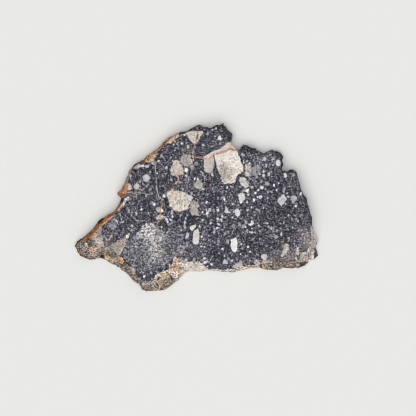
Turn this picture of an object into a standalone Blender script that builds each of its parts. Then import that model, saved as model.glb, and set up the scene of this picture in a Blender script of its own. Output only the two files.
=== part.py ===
"""Slice of a lunar breccia: one stone, sawn flat above and below, with a natural and a broken rim.

Millimetres are used for every size below; the mesh is written in metres, with +Z up. The origin is the
middle of the slice's plan, on the underside it rests on.
"""
import math

import bmesh
import bpy
from mathutils import Vector
from mathutils import noise

MM = 0.001
COLLECTION_NAME = "lunar_meteorite_slice"
NODE_NAME = "meteorite_slice"

# Driving sizes
THICKNESS = 3.2
COLUMN_SPACING = 0.53
LEVEL_COUNT = 12

# Roughness of the rim: coarse lumps and finer knobbles, across the rim and down it
LUMP_SIZE = 2.4
LUMP_HEIGHT = 0.20
KNOBBLE_SIZE = 0.95
KNOBBLE_HEIGHT = 0.11

# Share of the knobbles' height that is left at the edges of the two flat faces
EDGE_KNOBBLES = 0.35

# Ledges: how high one is, and how many times longer it runs round the rim
LEDGE_SIZE = 1.7
LEDGE_STRETCH = 2.0

# The lip rises and falls by this share of its depth, in waves of this length along the rim; it never
# lies lower than this share of the thickness. The level is where its waves are cut from the noise.
LIP_WANDER = 0.45
LIP_WANDER_SIZE = 2.3
LIP_WANDER_LEVEL = 40.0
LOWEST_LIP = 0.92

# Columns to either side that give the direction out of the stone, and over which the widest outline is
# evened out under its lip
DIRECTION_SPAN = 2
EVENING_SPAN = 5

# Stone colour: the charcoal ground and its pale grains taken together
STONE_COLOUR = (0.115, 0.11, 0.112, 1.0)
STONE_ROUGHNESS = 0.85

# How a length of rim falls from the sawn face: lip is the share of the thickness at which it is widest,
# tuck the share of its width lost again at the underside, swell how round it is, ledges how stepped.
WEATHERED = {"lip": 0.84, "tuck": 0.08, "swell": 0.50, "ledges": 0.14}
CRUSTED = {"lip": 0.66, "tuck": 0.16, "swell": 0.60, "ledges": 0.18}
BROKEN = {"lip": 0.62, "tuck": 0.22, "swell": 0.25, "ledges": 0.40}

# The rim, clockwise from the left tip. Each length has its surface, the outline of the stone at its
# widest and the edge of the sawn face; it ends where the next length begins.
RIM = (
    (WEATHERED,
     ((-27.6, -8.5), (-27.0, -7.7), (-25.5, -6.7)),
     ((-24.8, -8.1), (-24.5, -6.9))),
    (CRUSTED,
     ((-25.1, -6.1), (-23.4, -4.9), (-22.3, -3.2), (-20.5, -1.9), (-18.4, -0.7), (-17.6, 0.5)),
     ((-24.2, -6.5), (-22.9, -5.4), (-21.6, -3.8), (-20.0, -2.5), (-18.0, -1.0), (-17.1, 0.2))),
    (CRUSTED,
     ((-16.8, 2.2), (-17.2, 2.5), (-17.8, 2.6), (-18.0, 3.0), (-17.6, 3.6), (-17.0, 4.0)),
     ((-16.2, 1.8), (-16.5, 2.7), (-16.5, 3.6))),
    (CRUSTED,
     ((-16.2, 5.5), (-16.0, 6.4), (-15.2, 8.1), (-14.0, 9.8), (-12.8, 10.3)),
     ((-15.8, 5.4), (-14.7, 7.9), (-13.6, 9.4), (-12.6, 9.9))),
    (CRUSTED,
     ((-11.9, 10.6), (-11.4, 11.3), (-10.6, 12.0), (-9.1, 13.0), (-7.2, 14.8), (-6.8, 15.5), (-4.0, 17.0)),
     ((-11.6, 10.2), (-10.1, 11.5), (-8.8, 12.5), (-6.8, 14.3), (-6.3, 15.0), (-5.6, 15.5))),
    (BROKEN,
     ((-3.5, 17.1), (-2.7, 17.0), (-1.9, 17.2), (-0.7, 18.1), (0.8, 19.0), (1.3, 18.6)),
     ((-3.4, 16.7), (-1.8, 17.0), (-1.1, 17.1), (1.2, 17.4))),
    (BROKEN,
     ((1.6, 18.1), (2.2, 18.2), (3.1, 17.8), (4.3, 18.5), (5.0, 18.7), (5.4, 18.4)),
     ((1.6, 17.6), (2.3, 17.9), (3.1, 17.4), (4.4, 18.2))),
    (BROKEN,
     ((6.0, 19.0), (6.4, 18.4), (7.5, 17.2), (8.1, 16.9), (8.4, 16.4), (8.0, 15.6)),
     ((5.8, 18.1), (6.3, 17.0), (7.3, 16.1), (7.4, 15.1))),
    (BROKEN,
     ((8.1, 14.7), (8.6, 14.0), (9.5, 12.9)),
     ((7.8, 14.5), (8.3, 13.9), (9.2, 12.6))),
    (BROKEN,
     ((9.9, 13.1), (10.1, 13.9), (10.5, 14.4), (10.9, 14.1), (11.5, 14.2), (12.0, 13.6), (12.8, 13.4),
      (14.4, 13.0), (14.7, 12.4)),
     ((9.9, 12.5), (11.8, 12.2), (13.6, 11.8))),
    (BROKEN,
     ((15.4, 12.3), (16.1, 12.7), (16.7, 12.8), (17.2, 13.2), (17.6, 12.7), (18.3, 12.8), (19.0, 12.5),
      (19.5, 11.9), (19.7, 11.3), (19.3, 10.7), (19.8, 9.7), (19.4, 9.2)),
     ((15.5, 11.4), (17.2, 11.9), (18.2, 11.1), (18.9, 10.4), (19.1, 9.7))),
    (BROKEN,
     ((19.1, 9.0), (19.3, 8.3), (19.8, 8.1), (20.4, 8.3), (20.8, 8.1), (21.2, 8.6), (21.9, 8.7),
      (22.4, 8.5), (22.8, 7.9)),
     ((18.9, 8.8), (19.1, 8.1), (19.6, 7.7), (20.8, 7.7), (21.3, 7.9), (22.3, 8.0))),
    (BROKEN,
     ((23.1, 6.3), (23.4, 4.8), (24.1, 3.1), (25.0, 2.0), (25.0, 1.3), (25.5, -0.6), (26.2, -2.5)),
     ((22.8, 6.2), (23.2, 4.7), (23.9, 3.0), (24.7, 1.8), (25.2, -0.7), (25.9, -2.6))),
    (WEATHERED,
     ((25.9, -3.9), (27.0, -6.4), (27.4, -7.2), (27.4, -8.0), (26.9, -8.7), (27.0, -9.4)),
     ((25.6, -3.9), (25.8, -5.8), (25.8, -7.4), (25.4, -8.8))),
    (WEATHERED,
     ((27.4, -9.9), (27.6, -10.7), (27.2, -11.5), (25.9, -11.9), (25.2, -12.3), (24.8, -13.0)),
     ((24.9, -9.9), (24.0, -10.6), (23.0, -11.6))),
    (WEATHERED,
     ((23.4, -13.7), (19.8, -13.6), (18.3, -14.2), (16.0, -14.1)),
     ((21.7, -12.2), (17.8, -12.4), (15.1, -12.6))),
    (WEATHERED,
     ((14.0, -13.6), (12.6, -13.5), (9.9, -14.2), (7.9, -14.8), (7.3, -14.5), (5.2, -14.3)),
     ((14.1, -12.9), (11.2, -13.2), (8.0, -14.0), (5.2, -14.0))),
    (WEATHERED,
     ((2.9, -14.1), (0.9, -14.5), (-1.4, -14.4)),
     ((2.9, -13.8), (2.1, -13.3), (1.2, -12.5), (-0.8, -12.0))),
    (WEATHERED,
     ((-2.2, -14.7), (-3.0, -15.1), (-4.2, -16.4), (-5.7, -17.8)),
     ((-1.7, -12.3), (-2.7, -11.9), (-3.8, -11.5), (-4.6, -11.4))),
    (WEATHERED,
     ((-6.3, -18.4), (-7.2, -18.8), (-8.6, -18.8), (-11.0, -19.0), (-11.9, -18.7)),
     ((-6.3, -13.9), (-8.2, -14.7), (-9.1, -15.4), (-9.9, -16.3), (-10.9, -16.6))),
    (WEATHERED,
     ((-12.5, -18.1), (-12.8, -17.5), (-14.5, -16.2), (-16.0, -14.6), (-17.0, -14.1), (-17.8, -13.3),
      (-18.7, -12.9)),
     ((-11.8, -16.5), (-13.1, -15.5), (-14.4, -13.8), (-16.0, -12.2), (-16.7, -11.6), (-18.8, -10.9))),
    (WEATHERED,
     ((-21.4, -11.5), (-22.3, -11.5), (-24.3, -11.9), (-25.2, -11.5), (-26.1, -11.2), (-26.7, -10.5),
      (-27.1, -9.6)),
     ((-20.7, -9.9), (-22.5, -9.6), (-23.9, -9.2), (-24.5, -8.7))),
)

# Hollows of the weathered rim: place in the plan, height, radius and depth
HOLLOWS = (
    ((-8.5, -16.2), 2.2, 1.0, 0.50),
    ((-24.9, -9.0), 2.4, 1.1, 0.45),
    ((-20.9, -10.9), 1.9, 0.9, 0.40),
    ((-5.6, -15.0), 2.1, 1.2, 0.45),
    ((-14.6, -15.2), 1.6, 1.1, 0.35),
    ((24.6, -11.6), 1.9, 1.1, 0.45),
    ((26.5, -10.6), 1.6, 1.1, 0.45),
    ((20.4, -13.2), 1.9, 1.0, 0.35),
)

# Swells of the weathered rim, in the same form
SWELLS = (
    ((-10.4, -18.0), 1.5, 1.4, 0.30),
    ((-16.8, -12.9), 1.8, 1.2, 0.28),
    ((-22.6, -10.7), 1.6, 1.1, 0.28),
    ((-0.2, -13.6), 1.7, 1.5, 0.30),
    ((-3.8, -13.6), 2.0, 1.4, 0.25),
    ((17.2, -13.4), 1.7, 1.2, 0.25),
)


def clear_scene():
    """Take away every object of the opening scene."""
    for scene_object in list(bpy.data.objects):
        bpy.data.objects.remove(scene_object, do_unlink=True)


def spread_along(points, count):
    """Return count points at equal steps along a line, from its start and leaving out its end."""
    lengths = [0.0]
    for start, end in zip(points, points[1:]):
        lengths.append(lengths[-1] + math.dist(start, end))
    spread = []
    leg = 0
    for step in range(count):
        reach = lengths[-1] * step / count
        while reach > lengths[leg + 1]:
            leg += 1
        share = (reach - lengths[leg]) / (lengths[leg + 1] - lengths[leg])
        spread.append(Vector(points[leg]).lerp(Vector(points[leg + 1]), share))
    return spread


def rim_columns():
    """Return the surface, widest point and sawn-edge point of each column round the rim."""
    columns = []
    for index, (surface, widest, sawn) in enumerate(RIM):
        following = RIM[(index + 1) % len(RIM)]
        widest_line = widest + following[1][:1]
        sawn_line = sawn + following[2][:1]
        length = sum(math.dist(start, end) for start, end in zip(widest_line, widest_line[1:]))
        count = max(len(widest), round(length / COLUMN_SPACING))
        for outer, inner in zip(spread_along(widest_line, count), spread_along(sawn_line, count)):
            columns.append((surface, outer, inner))
    return columns


def outward_direction(columns, index):
    """Return the direction in the plan that points out of the stone at a column."""
    before = columns[index - DIRECTION_SPAN][1]
    after = columns[(index + DIRECTION_SPAN) % len(columns)][1]
    along = (after - before).normalized()
    return Vector((-along.y, along.x))


def stand_proud(columns, index, outward):
    """Return how far the widest point of a column stands out of the evened outline, or 0 in a notch."""
    evened = Vector((0.0, 0.0))
    for offset in range(-EVENING_SPAN, EVENING_SPAN + 1):
        evened += columns[(index + offset) % len(columns)][1]
    evened /= 2 * EVENING_SPAN + 1
    return max((columns[index][1] - evened).dot(outward), 0.0)


def mound_height(place, mounds):
    """Return how far the listed mounds lift the rim at a place."""
    height = 0.0
    for (centre_x, centre_y), centre_z, radius, depth in mounds:
        share = (place - Vector((centre_x, centre_y, centre_z))).length / radius
        if share < 1.0:
            height += depth * (1.0 - share * share) ** 2
    return height


def column_point(column, outward, proud, depth_share):
    """Return the point of a column at a share of the depth below the sawn face."""
    surface, outer, inner = column
    wander = noise.noise(Vector((outer.x, outer.y, LIP_WANDER_LEVEL)) / LIP_WANDER_SIZE)
    lip = min(surface["lip"] * (1.0 + LIP_WANDER * wander), LOWEST_LIP)
    if depth_share < lip:
        fall = depth_share / lip
        swollen = math.sin(fall * math.pi / 2.0)
        reach = fall + (swollen - fall) * surface["swell"]
    else:
        reach = 1.0 - surface["tuck"] * (depth_share - lip) / (1.0 - lip)
    height = THICKNESS * (1.0 - depth_share)
    # Rises from 0 at the two faces to 1 halfway down
    between = 4.0 * depth_share * (1.0 - depth_share)
    ledge_place = Vector((outer.x / LEDGE_STRETCH, outer.y / LEDGE_STRETCH, height)) / LEDGE_SIZE
    reach += surface["ledges"] * between * noise.noise(ledge_place)
    plan = inner.lerp(outer, min(max(reach, 0.0), 1.0))
    place = Vector((plan.x, plan.y, height))
    roughness = LUMP_HEIGHT * between * noise.noise(place / LUMP_SIZE)
    knobbled = EDGE_KNOBBLES + (1.0 - EDGE_KNOBBLES) * between
    roughness += KNOBBLE_HEIGHT * knobbled * noise.noise(place / KNOBBLE_SIZE)
    roughness += mound_height(place, SWELLS) - mound_height(place, HOLLOWS)
    roughness -= proud * max(depth_share - lip, 0.0) / (1.0 - lip)
    plan += outward * roughness
    return Vector((plan.x, plan.y, height))


def centre_plan(shape):
    """Shift the slice so that the origin is the middle of its plan."""
    for axis in range(2):
        reaches = [vert.co[axis] for vert in shape.verts]
        middle = (min(reaches) + max(reaches)) / 2.0
        for vert in shape.verts:
            vert.co[axis] -= middle


def build_slice():
    """Loft the rim from the sawn face down to the underside and close it with the two flat faces."""
    columns = rim_columns()
    shape = bmesh.new()
    rings = [[] for level in range(LEVEL_COUNT + 1)]
    for index, column in enumerate(columns):
        outward = outward_direction(columns, index)
        proud = stand_proud(columns, index, outward)
        for level, ring in enumerate(rings):
            ring.append(shape.verts.new(column_point(column, outward, proud, level / LEVEL_COUNT) * MM))
    for upper, lower in zip(rings, rings[1:]):
        for index in range(len(columns)):
            after = (index + 1) % len(columns)
            shape.faces.new((upper[index], lower[index], lower[after], upper[after]))
    shape.faces.new(rings[0])
    shape.faces.new(rings[-1])
    bmesh.ops.triangulate(shape, faces=shape.faces[:], quad_method="SHORT_EDGE", ngon_method="BEAUTY")
    bmesh.ops.recalc_face_normals(shape, faces=shape.faces[:])
    centre_plan(shape)
    mesh = bpy.data.meshes.new(NODE_NAME)
    shape.to_mesh(mesh)
    shape.free()
    return mesh


def stone_material():
    """Return the matt charcoal of the stone."""
    material = bpy.data.materials.new("Lunar breccia, sawn and broken")
    material.use_nodes = True
    shader = material.node_tree.nodes["Principled BSDF"]
    shader.inputs["Base Color"].default_value = STONE_COLOUR
    shader.inputs["Roughness"].default_value = STONE_ROUGHNESS
    shader.inputs["Metallic"].default_value = 0.0
    return material


def main():
    """Build the slice in its own collection."""
    clear_scene()
    collection = bpy.data.collections.new(COLLECTION_NAME)
    bpy.context.scene.collection.children.link(collection)
    mesh = build_slice()
    mesh.materials.append(stone_material())
    collection.objects.link(bpy.data.objects.new(NODE_NAME, mesh))


main()
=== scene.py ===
"""A slice of lunar breccia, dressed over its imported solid.

The stone is one piece. Its sawn faces are flat, so the clasts, veins and stains in them are colour:
each is drawn on the sawn face in millimetres and stored in the mesh as how deep a point lies inside it.
The rim is real relief. Millimetres are used for every size; meshes are written in metres. +X runs along
the slice, +Y across it and +Z out of the sawn top, and the origin is the middle of the underside.
"""

from __future__ import annotations

import logging
import math
import random
from dataclasses import dataclass, field
from enum import Enum
from functools import partial
from typing import Any

import bmesh
import bpy
import numpy as np
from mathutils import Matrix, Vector, geometry, noise


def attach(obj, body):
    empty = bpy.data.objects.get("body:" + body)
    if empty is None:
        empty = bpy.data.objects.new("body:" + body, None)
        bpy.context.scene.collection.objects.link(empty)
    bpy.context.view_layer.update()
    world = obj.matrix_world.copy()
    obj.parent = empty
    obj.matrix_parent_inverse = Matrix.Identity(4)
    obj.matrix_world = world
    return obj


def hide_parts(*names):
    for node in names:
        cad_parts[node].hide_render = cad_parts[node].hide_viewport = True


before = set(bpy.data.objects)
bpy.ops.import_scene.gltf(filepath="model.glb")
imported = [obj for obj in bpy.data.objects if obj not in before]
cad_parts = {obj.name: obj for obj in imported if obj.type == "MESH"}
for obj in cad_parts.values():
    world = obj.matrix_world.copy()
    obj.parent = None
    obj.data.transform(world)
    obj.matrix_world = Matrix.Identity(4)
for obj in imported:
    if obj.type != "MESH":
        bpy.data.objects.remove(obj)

MM = 0.001
NODE = "meteorite_slice"
PIECE = "sawn_breccia_slice"
LOG = logging.getLogger(NODE)
Span = tuple[float, float]
Points = tuple[Span, ...]
Rows = tuple[tuple[float, ...], ...]
Socket = bpy.types.NodeSocket

# Nearer than this, in mm, two heights or points count as the same
HAIR = 0.001
# Keeps a division by nothing from failing
TINY = 1e-12
# Nearly all values of a noise texture lie in this span
NOISE_SPAN = (0.3, 0.7)
# Stands for no stain at all where colours are shared out
LEAST_SHARE = 1e-6
# Tells the filling of a face to keep only the triangles inside its border
INSIDE_ONLY = 1
# Points nearer than this, in mm, are merged when a face is filled
MERGE_WITHIN = 1e-7
# Farther from any feature than this, in mm, a point just counts as outside
FAR = 9.0
# How uneven the corners of a small clast are: their count, their sway in turn, their reach in radii
FLECK_CORNERS = (6, 8)
FLECK_SWAY = (-0.25, 0.25)
FLECK_REACH = (0.86, 1.06)


def linear_colour(code: str) -> tuple[float, float, float, float]:
    """Turn an sRGB hex value into the linear colour that a shader takes.

    Args:
        code: the colour as "#rrggbb".

    Returns:
        Red, green, blue and an alpha of 1.
    """
    channels = [int(code[place : place + 2], 16) / 255.0 for place in (1, 3, 5)]
    linear = [c / 12.92 if c <= 0.04045 else ((c + 0.055) / 1.055) ** 2.4 for c in channels]
    return (linear[0], linear[1], linear[2], 1.0)


def per_mm(size: float) -> float:
    """Give the texture scale, in cells to the metre, of a pattern whose cells are size mm across."""
    return 1.0 / (size * MM)


class Tint(Enum):
    """Colours of the stone's minerals and stains, as sRGB hex values."""

    WHITE = "#e8e8ec"
    FROST = "#d5d5db"
    CHALK = "#e8e8e5"
    MILK = "#d8d6d1"
    SNOW = "#e8e2dd"
    BONE = "#e9e2d8"
    CREAM = "#eae1d7"
    ROSE = "#ece4dd"
    LINEN = "#ccc7c1"
    SHELL = "#e3d8ce"
    IVORY = "#d3cac0"
    SAGE = "#c3bdb5"
    STONE = "#cbc3b9"
    PEARL = "#c4c4ca"
    DOVE = "#bdb6af"
    MOSS = "#bcbab0"
    ASH = "#a3a3aa"
    SLATE = "#8b8b92"
    FLINT = "#757479"
    PEWTER = "#83818a"
    GRAPHITE = "#615f68"
    DRIFT = "#c3c0bd"
    TAUPE = "#9b9088"
    PUTTY = "#bfb5ab"
    TAN = "#c0ac92"
    OLIVE = "#cabb95"
    FAWN = "#d9c7ac"
    PEACH = "#d3b49c"
    BLUSH = "#d3b7a8"
    CLAY = "#b98f7c"
    TAWNY = "#c39b74"
    AMBER = "#cfa27a"
    RUSSET = "#b98664"
    OCHRE = "#a6764c"
    DUST = "#8f8175"
    UMBER = "#6a5648"
    BARK = "#52413a"
    IRON = "#4d4a48"
    COAL = "#35333b"
    SOOT = "#1f1e23"
    INK = "#231c1a"

    def linear(self) -> np.ndarray:
        """Give the colour as a linear row of red, green, blue and alpha."""
        return np.array(linear_colour(self.value))


class Kind(Enum):
    """Kinds of shader node: Blender's type, the settings, the inputs in feeding order, the output."""

    PLACE = ("ShaderNodeTexCoord", {}, (), "Object")
    NUMBER = ("ShaderNodeAttribute", {}, (), "Fac")
    COLOUR = ("ShaderNodeAttribute", {}, (), "Color")
    GROUP = ("ShaderNodeGroup", {}, (), 0)
    NOISE = ("ShaderNodeTexNoise", {}, ("Vector", "Scale", "Detail"), "Fac")
    SWAY = ("ShaderNodeTexNoise", {}, ("Vector", "Scale", "Detail"), "Color")
    CELLS = ("ShaderNodeTexVoronoi", {}, ("Vector", "Scale"), "Distance")
    DICE = ("ShaderNodeSeparateColor", {}, (0,), "Red")
    SUM = ("ShaderNodeMath", {"operation": "ADD"}, (0, 1), 0)
    SHARE_SUM = ("ShaderNodeMath", {"operation": "ADD", "use_clamp": True}, (0, 1), 0)
    DIFFERENCE = ("ShaderNodeMath", {"operation": "SUBTRACT"}, (0, 1), 0)
    PRODUCT = ("ShaderNodeMath", {"operation": "MULTIPLY"}, (0, 1), 0)
    SHARE_PRODUCT = ("ShaderNodeMath", {"operation": "MULTIPLY", "use_clamp": True}, (0, 1), 0)
    PRODUCT_SUM = ("ShaderNodeMath", {"operation": "MULTIPLY_ADD"}, (0, 1, 2), 0)
    POWER = ("ShaderNodeMath", {"operation": "POWER"}, (0, 1), 0)
    LARGER = ("ShaderNodeMath", {"operation": "MAXIMUM"}, (0, 1), 0)
    SHIFT = ("ShaderNodeVectorMath", {"operation": "ADD"}, (0, 1), 0)
    AWAY = ("ShaderNodeVectorMath", {"operation": "SUBTRACT"}, (0, 1), 0)
    SCALE = ("ShaderNodeVectorMath", {"operation": "SCALE"}, (0, "Scale"), 0)
    RANGE = ("ShaderNodeMapRange", {}, (0, 1, 2, 3, 4), 0)
    OPEN_RANGE = ("ShaderNodeMapRange", {"clamp": False}, (0, 1, 2, 3, 4), 0)
    EDGE = ("ShaderNodeMapRange", {"interpolation_type": "SMOOTHSTEP"}, (0, 1, 2, 3, 4), 0)
    MIX = ("ShaderNodeMix", {"data_type": "RGBA"}, (0, 6, 7), 2)
    DULL = ("ShaderNodeMix", {"data_type": "RGBA", "blend_type": "MULTIPLY"}, (0, 6, 7), 2)
    BUMP = ("ShaderNodeBump", {}, ("Strength", "Distance", "Height"), 0)


def add_node(tree: bpy.types.NodeTree, kind: Kind, *feeds: Any, **settings: Any) -> Socket:
    """Add one node with its settings and what feeds its inputs.

    Args:
        tree: the node tree that takes the node.
        kind: the kind of node.
        feeds: the sockets or the plain values that go in, in the kind's order.
        settings: values of the node's own properties, beside those of its kind.

    Returns:
        The output that the kind takes.
    """
    blender_type, fixed, places, result = kind.value
    node = tree.nodes.new(blender_type)
    for name, value in {**fixed, **settings}.items():
        setattr(node, name, value)
    for place, source in zip(places, feeds):
        if isinstance(source, Socket):
            tree.links.new(source, node.inputs[place])
        else:
            node.inputs[place].default_value = source
    return node.outputs[result]


def start_material(name: str, constants: dict[str, Any]) -> tuple[bpy.types.Material, Any]:
    """Start a material.

    Args:
        name: its name.
        constants: plain values for its shader's inputs, by the inputs' names.

    Returns:
        The material and its shader's inputs.
    """
    material = bpy.data.materials.new(name)
    material.use_nodes = True
    inputs = material.node_tree.nodes["Principled BSDF"].inputs
    for place, value in constants.items():
        inputs[place].default_value = value
    return material, inputs


@dataclass(frozen=True)
class Clast:
    """A broken mineral fragment, cut across by the saw.

    Attributes:
        tint: its colour.
        grain: how much darker grain shows in it, 0 to 1.
        outline: its corners on the sawn face.
    """

    tint: Tint
    grain: float
    outline: Points


@dataclass(frozen=True)
class Fleck:
    """A small clast, given by its middle and its size.

    Attributes:
        x: its middle, along the slice.
        y: its middle, across the slice.
        width: its size along X before it is tilted.
        height: its size along Y before it is tilted.
        tilt: how far it is turned, in degrees.
    """

    x: float
    y: float
    width: float
    height: float
    tilt: float = 0.0

    def clast(self, tint: Tint, grain: float, chance: random.Random) -> Clast:
        """Break the fleck out as a clast with uneven corners.

        Args:
            tint: its colour.
            grain: how much darker grain shows in it.
            chance: the seeded source of its corners.

        Returns:
            The clast, with six to eight corners.
        """
        corners = chance.randint(*FLECK_CORNERS)
        start = chance.uniform(0.0, math.tau)
        lean = math.radians(self.tilt)
        outline = []
        for step in range(corners):
            angle = start + math.tau * (step + chance.uniform(*FLECK_SWAY)) / corners
            reach = chance.uniform(*FLECK_REACH) / 2.0
            along = self.width * reach * math.cos(angle)
            across = self.height * reach * math.sin(angle)
            x = self.x + along * math.cos(lean) - across * math.sin(lean)
            y = self.y + along * math.sin(lean) + across * math.cos(lean)
            outline.append((x, y))
        return Clast(tint, grain, tuple(outline))


@dataclass(frozen=True)
class Vein:
    """A filled crack.

    Attributes:
        tint: the colour of its filling.
        width: its width.
        line: the points that it runs through on the sawn face.
    """

    tint: Tint
    width: float
    line: Points


@dataclass(frozen=True)
class Patch:
    """A soft-edged area of one colour.

    Attributes:
        tint: its colour.
        strength: how strongly it covers the stone, 0 to 1.
        x: its middle, along the slice.
        y: its middle, across the slice.
        radius: where it has faded by half.
        grit: how strongly its grains differ in tone, 0 to 1.
    """

    tint: Tint
    strength: float
    x: float
    y: float
    radius: float
    grit: float = 0.5


@dataclass(frozen=True)
class Zone:
    """A part of the sawn face with its own make-up.

    Attributes:
        paleness: how much paler its ground is, -1 to 1.
        flecks: how many more pale flecks it holds, -1 to 1.
        dirt: how much more dark grain its clasts hold, -1 to 1.
        x: its middle, along the slice.
        y: its middle, across the slice.
        radius: where it has faded by half.
    """

    paleness: float
    flecks: float
    dirt: float
    x: float
    y: float
    radius: float


@dataclass(frozen=True)
class Pit:
    """A small hole.

    Attributes:
        x: its middle, along the slice.
        y: its middle, across the slice.
        z: its middle, above the underside.
        radius: its half width.
        depth: how deep it is.
    """

    x: float
    y: float
    z: float
    radius: float
    depth: float


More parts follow.
